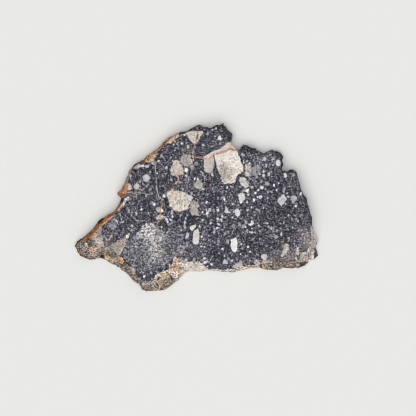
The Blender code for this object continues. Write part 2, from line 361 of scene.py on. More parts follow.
# The clasts that are large enough to have a shape of their own
CLASTS = (
    Clast(Tint.IVORY, 0.25, (
        (-2.2, 16.7), (-1.8, 17.1), (-1.2, 17.3), (0.0, 17.2), (1.4, 17.2), (1.6, 17.0), (1.1, 16.2),
        (0.8, 15.4), (0.3, 14.6), (-0.1, 14.3), (-0.8, 14.6), (-1.4, 15.3), (-1.9, 16.2),
    )),
    Clast(Tint.ROSE, 0.22, (
        (4.2, 11.8), (5.4, 12.2), (7.0, 12.7), (7.7, 13.0), (9.2, 12.7), (9.7, 11.3), (10.1, 10.2),
        (10.6, 9.1), (10.6, 8.4), (9.9, 7.6), (9.0, 7.1), (8.8, 5.5), (7.4, 5.4), (6.3, 5.4), (5.7, 6.2),
        (5.4, 7.3), (4.8, 8.9), (4.5, 10.4),
    )),
    Clast(Tint.IVORY, 0.05, (
        (1.7, 11.3), (2.5, 11.8), (3.1, 12.1), (4.0, 12.7), (5.2, 13.0), (5.9, 13.4), (6.3, 13.8),
        (7.0, 14.4), (7.9, 14.7), (8.6, 14.0), (9.0, 13.1), (8.1, 13.3), (7.2, 13.1), (6.3, 12.6),
        (5.0, 12.3), (3.8, 11.9), (2.7, 11.2),
    )),
    Clast(Tint.SAGE, 0.15, (
        (1.8, 11.0), (2.5, 11.0), (3.4, 11.3), (4.0, 11.6), (4.0, 10.2), (3.9, 8.9), (3.6, 8.1),
        (2.9, 7.7), (2.2, 8.0), (1.9, 8.4), (1.8, 9.8),
    )),
    Clast(Tint.IVORY, 0.4, (
        (-5.0, 10.6), (-4.0, 10.7), (-3.7, 10.0), (-3.3, 9.3), (-2.9, 8.4), (-2.9, 7.5), (-4.0, 7.4),
        (-4.5, 7.2), (-5.4, 7.2), (-5.7, 8.2), (-5.5, 9.1), (-5.2, 9.8),
    )),
    Clast(Tint.DOVE, 0.6, (
        (-3.5, 10.9), (-3.1, 11.6), (-2.5, 11.9), (-1.4, 11.9), (-1.2, 11.1), (-0.7, 10.4), (-0.7, 9.8),
        (-1.6, 9.4), (-2.7, 9.4), (-3.3, 10.0),
    )),
    Clast(Tint.ASH, 0.4, ((-1.5, 9.4), (-0.6, 9.5), (-0.5, 8.8), (-1.0, 8.5))),
    Clast(Tint.CREAM, 0.5, (
        (-6.5, 3.2), (-5.9, 3.6), (-5.3, 4.0), (-5.0, 3.7), (-4.0, 3.7), (-2.9, 3.4), (-1.8, 2.9),
        (-1.1, 2.6), (-0.7, 2.1), (-1.1, 1.4), (-1.4, 0.8), (-1.8, -0.1), (-2.5, -0.5), (-3.1, -0.8),
        (-4.0, -0.9), (-4.7, -0.7), (-5.4, -0.1), (-5.9, 0.5), (-6.1, 1.7), (-6.4, 2.3),
    )),
    Clast(Tint.DOVE, 0.45, (
        (-1.1, 1.0), (-0.5, 1.6), (0.2, 1.2), (0.7, 0.5), (0.2, -0.4), (0.5, -1.0), (0.7, -1.9),
        (-0.2, -1.8), (-1.0, -1.6), (-1.2, -0.6), (-1.2, 0.3),
    )),
    Clast(Tint.MILK, 0.15, (
        (9.5, 2.9), (9.9, 3.2), (10.5, 3.2), (10.9, 2.9), (11.0, 2.3), (10.9, 1.7), (10.5, 1.4),
        (10.1, 0.8), (9.9, 0.9), (9.8, 1.7), (9.6, 2.2),
    )),
    Clast(Tint.BONE, 0.1, ((11.3, 4.0), (11.9, 4.1), (11.8, 3.6), (11.6, 3.2), (11.2, 3.6), (11.0, 3.7))),
    Clast(Tint.MILK, 0.4, (
        (9.9, 6.6), (10.5, 6.9), (11.1, 6.5), (11.5, 5.7), (11.8, 4.7), (11.1, 4.4), (10.3, 5.0),
        (9.9, 5.8),
    )),
    Clast(Tint.CHALK, 0.0, (
        (7.9, -7.3), (8.3, -7.1), (8.7, -6.9), (9.0, -6.9), (9.2, -7.6), (9.3, -8.5), (9.2, -9.5),
        (9.0, -9.9), (8.6, -10.0), (8.2, -9.7), (7.9, -9.1),
    )),
    Clast(Tint.MILK, 0.1, (
        (-0.6, -5.5), (-0.1, -5.2), (0.3, -4.9), (0.6, -5.1), (0.7, -6.0), (0.6, -7.3), (0.5, -8.1),
        (0.0, -8.3), (-0.5, -8.2), (-0.7, -7.6), (-0.6, -6.4),
    )),
    Clast(Tint.MILK, 0.1, (
        (-1.4, -4.5), (-0.9, -4.1), (0.0, -3.9), (-0.2, -4.4), (-0.6, -5.0), (-1.0, -5.3), (-1.2, -5.0),
    )),
    Clast(Tint.PEARL, 0.12, (
        (19.6, 3.0), (20.0, 2.5), (20.4, 2.0), (20.0, 1.3), (19.7, 0.8), (19.2, 0.4), (18.8, 0.8),
        (18.4, 1.3), (18.4, 1.9), (18.9, 2.3), (19.4, 2.7),
    )),
    Clast(Tint.LINEN, 0.3, (
        (20.2, -8.2), (20.6, -8.3), (20.8, -8.9), (20.8, -9.6), (20.2, -10.3), (19.8, -10.9),
        (19.4, -11.2), (19.0, -10.8), (19.4, -10.1), (19.8, -9.4), (19.9, -8.7),
    )),
    Clast(Tint.FROST, 0.15, (
        (14.7, -10.8), (15.2, -10.6), (15.9, -10.6), (16.0, -11.2), (15.8, -11.7), (15.1, -11.8),
        (14.8, -11.4),
    )),
    Clast(Tint.FROST, 0.0, (
        (8.8, -0.6), (9.2, -0.3), (9.6, -0.5), (9.9, -1.3), (9.7, -1.9), (9.2, -2.1), (8.8, -1.6),
    )),
    Clast(Tint.PEARL, 0.05, (
        (6.7, 0.2), (7.0, -0.1), (7.3, -0.6), (7.3, -1.0), (7.0, -1.4), (6.4, -1.1), (6.6, -0.7),
    )),
    Clast(Tint.FROST, 0.05, (
        (12.5, -2.9), (12.9, -3.1), (13.1, -3.5), (12.7, -4.0), (12.2, -4.1), (11.9, -3.8), (12.4, -3.5),
        (12.4, -3.2),
    )),
    Clast(Tint.PEARL, 0.1, (
        (6.4, -11.6), (6.8, -11.9), (7.2, -12.4), (7.0, -12.7), (6.1, -12.7), (6.0, -12.3), (6.3, -12.1),
    )),
    Clast(Tint.FROST, 0.1, ((1.4, -12.4), (2.0, -12.1), (2.6, -11.9), (2.5, -12.4), (1.9, -12.7))),
    Clast(Tint.PEARL, 0.2, (
        (-2.2, -5.8), (-1.8, -5.8), (-1.6, -6.4), (-2.0, -7.0), (-2.4, -6.9), (-2.2, -6.3),
    )),
    Clast(Tint.PEARL, 0.35, (
        (-11.9, 6.8), (-11.5, 7.3), (-10.8, 7.5), (-10.3, 7.0), (-10.5, 6.3), (-10.7, 5.7), (-11.4, 5.8),
        (-11.8, 6.4),
    )),
    Clast(Tint.SAGE, 0.3, (
        (-15.5, 5.2), (-15.0, 5.3), (-14.5, 4.8), (-14.5, 4.4), (-14.8, 3.9), (-15.3, 4.0), (-15.5, 4.6),
    )),
    Clast(Tint.SAGE, 0.2, (
        (-14.0, 4.7), (-13.8, 5.2), (-13.4, 5.3), (-12.9, 5.2), (-12.8, 4.6), (-13.0, 4.1), (-13.5, 4.1),
        (-13.9, 4.3),
    )),
    Clast(Tint.PEARL, 0.5, (
        (-14.2, 9.1), (-13.7, 9.7), (-13.1, 9.8), (-12.5, 9.4), (-12.7, 8.9), (-13.5, 8.7),
    )),
    Clast(Tint.MOSS, 0.5, (
        (-0.3, 5.3), (0.1, 5.9), (0.8, 6.1), (1.3, 5.7), (1.5, 5.2), (1.3, 4.6), (0.8, 4.1), (0.2, 4.2),
        (-0.3, 4.6),
    )),
    Clast(Tint.ASH, 0.6, (
        (-19.4, -3.5), (-18.4, -3.4), (-18.0, -4.2), (-18.2, -4.9), (-18.9, -5.0), (-19.3, -4.2),
    )),
    Clast(Tint.MILK, 0.85, (
        (11.0, 9.6), (11.9, 9.7), (12.4, 8.9), (12.3, 7.7), (11.8, 7.1), (11.2, 7.1), (11.0, 8.2),
    )),
    Clast(Tint.ASH, 0.5, ((12.8, 9.1), (14.0, 9.3), (14.5, 8.4), (14.2, 7.4), (13.3, 7.1), (12.7, 8.0))),
    Clast(Tint.SAGE, 0.3, (
        (-8.9, -0.1), (-8.3, 0.1), (-7.9, -0.1), (-8.0, -1.0), (-8.6, -1.0), (-8.9, -0.7),
    )),
    Clast(Tint.SHELL, 0.1, ((-7.9, -0.1), (-7.5, -0.4), (-7.4, -0.9), (-7.8, -1.2), (-8.0, -0.9))),
    Clast(Tint.SAGE, 0.4, (
        (-9.0, -2.4), (-8.6, -1.8), (-7.9, -1.6), (-7.4, -1.9), (-7.5, -2.5), (-8.1, -2.7), (-8.8, -2.7),
    )),
    Clast(Tint.SHELL, 0.0, ((-7.5, 2.7), (-7.1, 3.0), (-6.9, 2.6), (-7.0, 2.2), (-7.4, 2.3))),
    Clast(Tint.SHELL, 0.2, ((-5.6, 3.9), (-5.3, 4.2), (-5.0, 3.8), (-5.2, 3.5), (-5.6, 3.4))),
    Clast(Tint.LINEN, 0.5, (
        (7.9, -13.7), (8.4, -13.2), (9.0, -12.7), (9.7, -12.4), (10.1, -11.9), (10.3, -12.3),
        (10.5, -13.2), (10.1, -13.6), (9.5, -13.4), (8.8, -13.6),
    )),
    Clast(Tint.LINEN, 0.4, (
        (13.1, -12.2), (13.5, -11.6), (14.1, -11.9), (14.3, -12.5), (14.2, -13.2), (13.4, -13.2),
    )),
    Clast(Tint.IVORY, 0.6, (
        (14.8, -12.0), (16.2, -11.9), (17.1, -12.2), (17.0, -12.8), (16.0, -13.4), (15.1, -13.3),
        (14.7, -12.7),
    )),
    Clast(Tint.STONE, 0.85, (
        (-15.2, -6.5), (-15.4, -6.3), (-15.8, -6.5), (-16.1, -6.9), (-17.6, -7.6), (-18.9, -8.3),
        (-19.0, -9.0), (-18.4, -9.7), (-17.7, -10.7), (-17.2, -10.4), (-16.7, -9.4), (-16.3, -8.5),
        (-15.6, -7.3),
    )),
    Clast(Tint.BONE, 0.0, ((-15.1, -6.5), (-15.3, -6.2), (-15.8, -6.3), (-15.8, -6.9), (-15.2, -7.0))),
    Clast(Tint.STONE, 0.5, (
        (-22.7, -7.1), (-21.8, -6.8), (-21.0, -7.1), (-20.9, -8.5), (-21.8, -8.8), (-22.6, -8.2),
    )),
    Clast(Tint.TAUPE, 0.2, (
        (-22.3, -5.9), (-21.8, -4.7), (-21.4, -4.3), (-21.2, -4.7), (-21.3, -5.8), (-21.9, -6.4),
    )),
    Clast(Tint.MILK, 0.0, (
        (5.1, 15.9), (5.3, 16.1), (5.6, 16.0), (5.7, 15.6), (5.7, 15.2), (5.4, 15.1), (5.1, 15.2),
        (5.0, 15.5),
    )),
    Clast(Tint.MILK, 0.2, (
        (18.2, 10.7), (18.6, 10.8), (19.0, 10.7), (19.1, 10.0), (18.9, 9.5), (18.5, 9.3), (18.1, 9.6),
        (18.0, 10.1),
    )),
    Clast(Tint.PEARL, 0.6, (
        (21.4, 2.2), (21.8, 2.6), (22.3, 2.6), (22.7, 2.0), (22.4, 1.6), (22.1, 1.3), (22.0, 0.9),
        (21.7, 1.1), (21.6, 1.7), (21.4, 1.9),
    )),
    Clast(Tint.SHELL, 0.4, (
        (23.1, -9.0), (23.3, -9.6), (23.2, -10.3), (22.8, -10.8), (22.5, -10.5), (22.5, -9.8),
        (22.8, -9.2),
    )),
)

# Small clasts and dark holes between grains, each as its middle, its two sizes and its tilt in degrees
FLECKS = {
    Tint.WHITE: (
        (-2.2, 8.4, 0.7, 1.1, 12), (-9.4, 0.7, 0.5, 0.7, 15), (4.9, -2.6, 0.5, 0.5), (2.5, -1.3, 0.6, 0.6),
        (1.5, -1.1, 0.4, 0.5), (2.4, 1.2, 0.4, 0.5), (-3.3, -5.2, 0.4, 0.4), (-7.7, -4.5, 0.4, 0.4),
        (-6.4, -3.3, 0.3, 0.5, 20), (-5.2, -2.0, 0.4, 0.6), (11.7, -8.9, 0.4, 0.5), (1.9, -8.9, 0.3, 0.4),
        (-11.6, -15.5, 0.5, 0.5), (13.1, 1.6, 0.5, 0.7, -15), (13.4, 3.2, 0.5, 0.4, 20),
        (6.4, 1.8, 0.4, 0.5), (4.8, -4.7, 0.5, 0.4), (4.2, -4.8, 0.4, 0.2), (1.6, 14.1, 0.3, 0.4),
        (22.5, -11.5, 0.4, 0.5), (-12.3, -0.5, 0.4, 0.5), (-3.4, -8.7, 0.5, 0.2, -40),
        (7.0, 4.5, 0.4, 0.5), (14.3, 7.5, 0.3, 0.3), (14.8, 4.5, 0.9, 0.7, 8), (17.6, 5.0, 0.4, 0.6),
        (18.6, 5.4, 0.3, 0.3), (12.1, 9.9, 0.4, 0.4), (18.1, 3.9, 0.3, 0.3),
    ),
    Tint.FROST: (
        (5.0, -0.7, 0.6, 0.6, -20), (7.6, -1.1, 0.4, 0.5), (5.9, -2.0, 0.5, 0.5), (5.7, -2.8, 0.4, 0.5),
        (1.4, -2.9, 0.5, 0.4), (3.3, -3.6, 0.4, 0.7, -25), (1.3, -6.6, 0.4, 0.5),
        (6.0, -9.4, 0.4, 0.6, 25), (1.1, -8.8, 0.5, 0.3), (3.5, -12.8, 0.6, 0.7), (2.6, -13.3, 0.3, 0.3),
        (1.9, -11.5, 0.6, 0.5), (14.0, 3.9, 0.5, 0.5), (13.8, 2.3, 0.3, 0.5), (14.5, 2.3, 0.7, 0.8),
        (12.7, 4.5, 0.4, 0.4), (11.1, -4.4, 0.4, 0.5), (12.6, -5.6, 0.5, 0.5), (10.2, -8.2, 0.4, 0.5),
        (12.2, -9.9, 0.4, 0.4), (10.0, -10.5, 0.3, 0.5), (-6.6, -2.7, 0.7, 0.7), (-3.2, 14.4, 0.5, 0.5),
        (-2.6, 16.3, 0.5, 0.4), (-0.3, 6.5, 0.4, 0.6, -10), (0.4, 6.4, 0.3, 0.5),
        (-6.7, 9.0, 0.6, 0.3, 35), (-12.0, 9.4, 0.7, 0.6, 20), (-17.9, -3.1, 0.3, 0.5),
        (-11.2, -3.7, 0.3, 0.5), (-10.2, -3.8, 0.3, 0.7, -15), (-11.1, -4.5, 0.3, 0.6),
        (-9.7, -4.1, 0.3, 0.7), (22.5, 0.3, 0.5, 0.5), (-2.2, -11.8, 0.6, 0.4), (11.7, 2.8, 0.4, 0.5),
        (10.7, 10.2, 0.3, 0.8), (-7.2, -2.2, 0.3, 0.5), (22.4, 0.3, 0.5, 0.4), (20.1, 7.2, 0.6, 1.4, 6),
        (-9.7, -5.4, 0.3, 0.3), (23.6, 3.1, 0.5, 0.9, -15), (14.6, 5.7, 0.3, 0.3), (-8.7, 7.6, 0.3, 0.3),
    ),
    Tint.PEARL: (
        (-5.4, -1.1, 0.6, 0.9), (1.6, 4.1, 0.5, 0.4), (-2.5, -3.4, 0.4, 0.8, -8), (-2.3, -2.6, 0.3, 0.7),
        (0.8, -4.2, 0.2, 0.6), (-5.7, -2.8, 0.5, 0.4), (-6.4, -5.6, 0.5, 0.4), (-2.8, -9.0, 0.6, 0.6),
        (-1.8, 13.6, 0.6, 0.7), (-4.2, 14.2, 0.3, 0.4), (-5.1, 14.2, 0.4, 0.4), (-4.7, 14.8, 0.3, 0.6),
        (3.6, 17.5, 0.4, 0.4), (-1.0, 10.3, 0.5, 0.5), (-2.2, 7.1, 0.5, 0.6), (-5.6, 6.2, 0.5, 0.4),
        (3.7, 7.4, 0.5, 1.0, -8), (-11.0, 9.2, 0.9, 0.5), (-9.8, 9.9, 0.5, 0.6), (-8.4, 10.4, 0.5, 0.5),
        (-14.7, 7.1, 0.3, 0.6, -25), (-9.8, 3.0, 0.3, 0.3), (-13.4, -1.4, 0.5, 0.9),
        (-16.4, -3.3, 0.5, 0.4), (-14.4, -4.1, 0.6, 0.6), (3.1, -0.6, 0.7, 0.7), (2.4, -0.6, 0.3, 0.5),
        (2.6, -2.0, 0.2, 0.6), (5.1, -3.8, 0.9, 0.3, -35), (4.1, -5.7, 0.4, 0.4),
        (8.3, 0.8, 0.5, 0.6, -30), (0.5, 0.3, 0.6, 0.3, 30), (8.2, -2.3, 0.3, 0.5), (8.5, -1.0, 0.3, 0.6),
        (11.5, 1.1, 0.5, 0.5), (17.0, 3.4, 0.5, 0.4), (20.7, 2.4, 0.5, 0.3), (20.5, 3.2, 0.3, 0.3),
        (15.2, -0.1, 0.3, 0.5), (12.5, 0.0, 0.3, 0.4), (11.6, -0.6, 0.5, 0.5), (11.6, -1.6, 0.3, 0.3),
        (14.1, -4.1, 0.3, 0.4), (12.1, -5.6, 0.3, 0.4), (13.3, -5.7, 0.4, 0.3), (16.9, -4.7, 0.5, 0.5),
        (16.1, -3.6, 0.3, 0.3), (19.2, -6.0, 0.4, 0.8), (19.7, -3.4, 0.3, 0.7, -15),
        (20.8, -1.8, 0.4, 0.4), (21.7, -4.5, 0.4, 0.6, -15), (23.0, -3.1, 0.3, 0.5),
        (21.9, -0.2, 0.3, 0.3), (24.8, -4.9, 0.3, 0.4), (23.9, -6.0, 0.4, 0.4), (25.2, -5.7, 0.4, 0.3),
        (24.5, -7.0, 0.3, 0.3), (6.4, -11.0, 0.3, 0.3), (8.1, -12.0, 0.5, 0.4, -30),
        (11.2, -10.9, 0.4, 0.4), (12.1, -12.0, 0.5, 0.3), (15.4, 10.9, 0.7, 0.9), (16.7, 12.0, 0.7, 0.7),
        (17.4, 11.0, 0.5, 0.5), (16.4, 7.5, 0.4, 0.9), (15.2, 8.0, 0.5, 0.5), (14.3, 13.5, 0.4, 0.4),
        (14.9, 13.6, 0.5, 0.4), (15.5, 13.2, 0.5, 0.5), (16.3, 13.5, 0.4, 0.4), (17.0, 12.7, 0.5, 0.5),
        (15.8, 12.4, 0.4, 0.4), (14.7, 12.6, 0.3, 0.4), (15.2, 7.1, 0.5, 0.8), (15.8, 9.5, 0.3, 0.7),
        (4.5, 17.8, 0.3, 0.7), (-11.6, 5.1, 0.3, 0.3), (-15.1, -6.0, 0.3, 0.5),
        (-11.9, -4.7, 0.7, 0.5, 15), (-11.9, -4.1, 0.4, 0.4),
    ),
    Tint.ASH: (
        (5.0, 2.2, 0.4, 0.5), (6.0, 2.2, 0.7, 0.4, 15), (1.7, 3.0, 0.2, 0.5), (2.6, 2.9, 0.5, 0.2, 25),
        (1.5, 1.1, 0.5, 0.3), (-1.0, 3.1, 0.4, 0.8, 10), (-3.1, 4.2, 0.4, 0.9, 35), (4.0, -0.9, 0.4, 0.4),
        (1.8, -1.6, 0.5, 0.2), (6.6, -2.2, 0.6, 0.2), (5.9, -5.0, 0.4, 0.3), (6.4, -6.1, 0.3, 1.0, -20),
        (5.1, -7.6, 0.6, 0.7), (4.9, -8.3, 0.4, 0.5), (7.1, -7.7, 0.8, 1.1, 8), (-2.5, -4.4, 0.5, 1.0),
        (-2.0, -1.8, 0.3, 0.5), (-3.5, -1.9, 0.3, 0.6), (-5.8, -3.8, 0.5, 0.3), (-3.7, -4.2, 0.3, 0.5),
        (-2.0, -8.3, 0.5, 1.2, 5), (-3.1, -6.1, 0.3, 0.2), (-3.1, -7.0, 0.2, 0.2), (-2.9, 13.0, 0.3, 0.4),
        (3.6, 13.7, 0.7, 0.3), (-3.6, 5.6, 0.6, 0.5), (-6.9, 7.6, 0.9, 0.2), (-10.3, 7.9, 0.6, 0.5),
        (-12.6, 5.8, 0.6, 0.6), (-12.0, 5.4, 0.3, 0.3), (-14.7, 6.4, 0.3, 0.6), (-7.7, 11.5, 0.5, 0.8, 20),
        (-8.9, 11.9, 0.3, 0.4), (-5.7, 11.2, 0.3, 0.3), (-11.2, 2.7, 0.4, 0.7), (-12.3, 0.2, 0.4, 0.2),
        (-9.8, 1.1, 0.4, 0.4), (-14.4, -1.1, 0.5, 0.4), (-15.1, -0.7, 0.3, 0.7), (-10.7, -1.4, 0.4, 0.5),
        (-19.4, -4.1, 0.4, 0.4), (-16.8, -3.4, 0.4, 0.2), (-15.1, -4.8, 0.5, 0.4), (-14.5, -5.2, 0.6, 0.5),
        (-19.1, -6.5, 0.4, 0.8, -10), (-19.5, -7.1, 0.3, 0.6, -15), (-21.2, -6.5, 0.3, 0.7),
        (-10.1, -14.7, 0.7, 0.7), (-9.9, -16.2, 0.3, 0.7), (11.2, -3.3, 0.5, 0.9),
        (9.8, -3.8, 0.5, 0.9, 30), (10.6, -4.4, 0.3, 0.8), (13.8, -3.6, 0.2, 0.2),
        (11.4, -5.3, 0.4, 0.8, -25), (14.4, -5.4, 0.5, 0.3), (7.2, -5.5, 0.5, 0.4), (8.2, -5.9, 0.3, 0.4),
        (12.7, -7.3, 0.7, 0.3, 35), (14.4, -7.1, 0.4, 0.3), (10.9, -8.4, 0.3, 0.3), (10.4, -9.3, 0.6, 0.6),
        (9.5, -9.8, 0.3, 0.3), (17.4, -4.7, 0.3, 0.2), (16.3, -4.4, 0.4, 0.7), (18.2, -5.3, 0.3, 0.9),
        (17.4, -5.4, 0.3, 0.5), (18.0, -6.6, 0.9, 0.8), (17.0, -6.2, 0.2, 0.3), (19.0, -4.8, 0.3, 0.3),
        (19.0, -3.6, 0.2, 0.3), (20.0, -2.3, 0.6, 0.2), (20.9, -7.0, 0.5, 0.6), (22.3, -1.8, 0.5, 0.3),
        (23.7, -1.8, 0.5, 0.4), (22.5, -2.8, 0.4, 0.5), (22.4, -4.1, 0.4, 0.2), (20.3, -4.2, 0.2, 0.5),
        (15.9, -8.7, 0.2, 0.4), (13.1, -1.1, 0.5, 0.3), (14.2, -0.8, 0.3, 0.7), (10.1, -0.6, 0.3, 0.5),
        (15.6, 4.2, 0.3, 0.4), (16.2, 3.5, 0.5, 0.7), (19.7, 3.5, 0.2, 0.6), (20.2, 0.7, 0.4, 0.5),
        (16.1, 2.1, 0.3, 0.5), (7.3, -11.5, 0.3, 0.7), (9.2, -11.8, 0.3, 0.4), (5.2, -10.3, 0.4, 0.3),
        (3.1, -8.5, 0.2, 0.3), (11.5, 10.4, 0.7, 0.5), (10.5, 11.9, 0.7, 0.7), (11.7, 5.5, 0.7, 0.7),
        (5.4, 14.3, 0.4, 0.5), (2.6, 16.5, 0.4, 0.5), (16.0, 5.3, 0.9, 0.8), (21.9, 7.2, 0.7, 0.7),
        (19.9, 4.2, 0.4, 0.9, -8), (13.7, -0.5, 0.5, 0.5), (10.6, 3.8, 0.5, 0.4), (13.4, 5.8, 0.5, 0.3),
        (8.1, 4.6, 0.7, 0.3, 30), (23.1, -5.2, 0.5, 0.3), (24.4, -8.0, 0.5, 0.5), (25.4, -6.4, 0.4, 0.4),
        (23.6, -7.1, 0.3, 0.3),
    ),
    Tint.SLATE: (
        (8.4, -4.2, 0.8, 1.0), (1.5, -5.9, 0.4, 0.7), (21.6, -2.6, 0.6, 0.6), (5.9, 3.5, 0.5, 0.7),
        (4.0, 3.4, 0.4, 0.4), (0.1, 9.8, 0.9, 0.9), (2.0, -4.4, 0.4, 0.6), (9.5, 0.5, 0.6, 0.4),
        (12.6, -2.4, 0.5, 0.5), (17.8, -0.4, 0.4, 0.7), (20.7, -4.9, 0.4, 0.5), (-7.4, 4.8, 0.5, 0.4),
        (-4.5, 1.7, 0.3, 0.3), (-10.3, 4.1, 0.5, 0.7), (-14.2, 0.8, 0.5, 0.5), (-16.4, -4.9, 0.4, 0.4),
        (-18.0, -5.8, 0.5, 0.5), (-5.4, -3.3, 0.4, 0.5),
    ),
    Tint.SOOT: (
        (11.2, 3.3, 0.8, 0.3, -20), (20.9, 2.9, 0.5, 0.2), (20.2, -7.7, 1.0, 0.5, 30),
        (17.2, -4.0, 0.5, 0.3), (15.4, -0.5, 0.5, 0.7), (0.2, -4.2, 0.3, 0.7), (-1.2, -11.9, 0.3, 0.3),
        (1.9, -12.9, 0.3, 0.3), (-11.2, -9.5, 0.6, 0.4), (-14.5, -8.0, 0.3, 0.3), (-10.0, -8.2, 0.3, 0.3),
        (-9.0, -8.0, 0.2, 0.3), (-11.1, -7.4, 0.2, 0.4), (-8.0, -13.0, 0.4, 0.5), (-7.8, -11.2, 0.4, 0.5),
        (-6.4, -10.6, 0.3, 0.4), (-5.3, -9.2, 0.3, 0.3), (-4.2, -11.0, 0.4, 0.3), (-9.7, -15.7, 0.4, 0.7),
        (13.7, 8.0, 0.3, 0.5), (11.7, 8.2, 0.4, 0.5), (19.5, -3.3, 0.4, 0.7), (22.1, -5.5, 0.9, 0.5, 35),
        (15.0, 1.0, 0.7, 0.4, -20), (17.6, -8.1, 0.6, 0.4), (-3.6, 1.2, 0.2, 0.2), (-3.7, 0.8, 0.2, 0.4),
        (-14.3, 3.7, 0.9, 0.5), (-12.7, 3.7, 0.6, 0.4), (-2.1, 10.0, 0.3, 0.3), (21.2, -8.0, 0.7, 0.4),
    ),
}

# Fragments of older breccia, finer in grain than the ground
FRAGMENTS = (
    Clast(Tint.FLINT, 0.0, (
        (-15.5, -7.8), (-14.2, -6.5), (-12.8, -5.2), (-11.9, -4.0), (-10.8, -3.4), (-9.5, -3.5),
        (-8.6, -4.6), (-7.2, -5.5), (-5.4, -6.2), (-3.6, -6.9), (-2.2, -8.7), (-2.7, -10.0), (-4.0, -11.0),
        (-5.4, -11.4), (-6.3, -12.7), (-8.1, -13.6), (-10.3, -14.1), (-12.4, -14.2), (-13.5, -14.5),
        (-14.8, -13.0), (-16.1, -11.6), (-16.3, -10.3),
    )),
)

# Cracks, most of them filled with iron-stained or white mineral
VEINS = (
    Vein(Tint.CLAY, 0.34, ((0.6, 18.4), (0.5, 17.4), (0.3, 16.7), (0.2, 16.0))),
    Vein(Tint.BARK, 0.50, ((0.3, 16.2), (0.2, 15.3))),
    Vein(Tint.CLAY, 0.23, ((0.2, 15.3), (-0.1, 14.5), (-0.4, 13.7), (-0.6, 12.9))),
    Vein(Tint.BLUSH, 0.20, ((-0.6, 12.9), (-0.8, 12.0), (-0.7, 11.2), (-0.5, 10.6))),
    Vein(Tint.CLAY, 0.27, ((-0.3, 11.3), (0.5, 11.2), (1.1, 11.1), (1.8, 11.0), (2.7, 11.1))),
    Vein(Tint.PEACH, 0.34, ((2.7, 11.1), (3.4, 11.5), (4.0, 12.0), (4.7, 12.1))),
    Vein(Tint.CLAY, 0.52, ((4.7, 12.1), (5.4, 12.3), (6.1, 12.5), (6.8, 12.6), (7.2, 13.1), (7.7, 13.4))),
    Vein(Tint.RUSSET, 0.45, ((7.7, 13.4), (8.1, 13.0), (8.6, 12.8), (9.2, 13.0))),
    Vein(Tint.CLAY, 0.25, ((7.8, 13.5), (8.0, 14.4), (8.0, 14.8))),
    Vein(Tint.BLUSH, 0.27, ((-4.4, 8.3), (-4.4, 7.4), (-4.0, 6.6), (-3.9, 6.2), (-4.3, 5.7), (-4.5, 5.2))),
    Vein(Tint.PEARL, 0.14, ((-9.2, 10.4), (-9.2, 9.3), (-9.1, 7.9))),
    Vein(Tint.ASH, 0.18, ((-9.1, 7.9), (-9.1, 7.1), (-8.9, 6.4), (-8.9, 5.3), (-9.0, 4.5))),
    Vein(Tint.PEARL, 0.23, ((-8.9, 4.5), (-8.7, 3.7), (-8.6, 3.0), (-8.1, 2.2), (-7.8, 1.9))),
    Vein(Tint.CLAY, 0.23, ((-7.8, 1.9), (-7.7, 1.3), (-7.5, 0.8))),
    Vein(Tint.CLAY, 0.25, (
        (-7.5, 0.8), (-7.7, 0.3), (-7.9, -0.2), (-8.0, -0.8), (-8.0, -1.5), (-8.1, -2.2),
    )),
    Vein(Tint.CLAY, 0.16, ((-8.2, -2.9), (-8.6, -3.4), (-8.7, -4.1), (-8.8, -4.7))),
    Vein(Tint.TAUPE, 0.27, (
        (-15.4, 3.3), (-14.6, 3.5), (-14.0, 3.1), (-13.3, 3.4), (-12.4, 3.3), (-11.5, 3.1), (-10.6, 2.9),
        (-9.8, 3.1),
    )),
    Vein(Tint.ASH, 0.20, ((-10.6, 5.4), (-11.2, 4.7), (-11.9, 4.0), (-12.6, 3.8))),
    Vein(Tint.ASH, 0.16, ((-1.7, 6.8), (-1.9, 5.3), (-2.0, 3.8))),
    Vein(Tint.ASH, 0.27, ((1.1, 8.2), (1.7, 7.3), (2.3, 6.4))),
    Vein(Tint.ASH, 0.18, ((-6.3, -5.2), (-5.2, -5.5), (-4.5, -5.9), (-3.6, -6.3), (-2.9, -6.9))),
    Vein(Tint.PEARL, 0.18, (
        (-15.8, -8.7), (-15.1, -8.9), (-14.5, -8.8), (-13.8, -8.8), (-13.1, -8.9), (-12.2, -8.8),
    )),
    Vein(Tint.PEARL, 0.18, ((-14.6, -1.5), (-14.0, -2.4), (-13.3, -2.9))),
    Vein(Tint.PEARL, 0.18, ((-17.2, -1.0), (-16.9, -2.2), (-16.7, -3.2))),
    Vein(Tint.PEARL, 0.16, ((3.8, -11.0), (3.4, -11.6), (2.9, -12.3))),
    Vein(Tint.ASH, 0.18, ((-8.1, -14.8), (-7.2, -14.2))),
    Vein(Tint.ASH, 0.18, ((17.8, -9.7), (19.1, -9.7))),
    Vein(Tint.SAGE, 0.32, ((-16.0, -8.3), (-16.7, -9.6), (-17.2, -10.5))),
    Vein(Tint.SOOT, 0.18, ((4.0, 11.7), (4.2, 10.7), (4.5, 8.6))),
    Vein(Tint.SOOT, 0.14, ((10.9, 9.8), (10.9, 7.1))),
    Vein(Tint.SOOT, 0.32, ((-16.5, -11.3), (-15.8, -12.3), (-14.8, -13.0), (-14.0, -14.1), (-13.4, -14.9))),
    Vein(Tint.SOOT, 0.16, ((-15.3, -7.2), (-14.4, -6.4), (-13.3, -5.4), (-12.4, -4.2), (-11.5, -3.2))),
    Vein(Tint.SOOT, 0.20, ((-6.0, -0.4), (-5.0, -1.0), (-4.0, -2.0))),
    Vein(Tint.SOOT, 0.32, ((23.4, -9.3), (24.3, -9.1), (25.2, -9.4), (26.2, -9.9))),
)

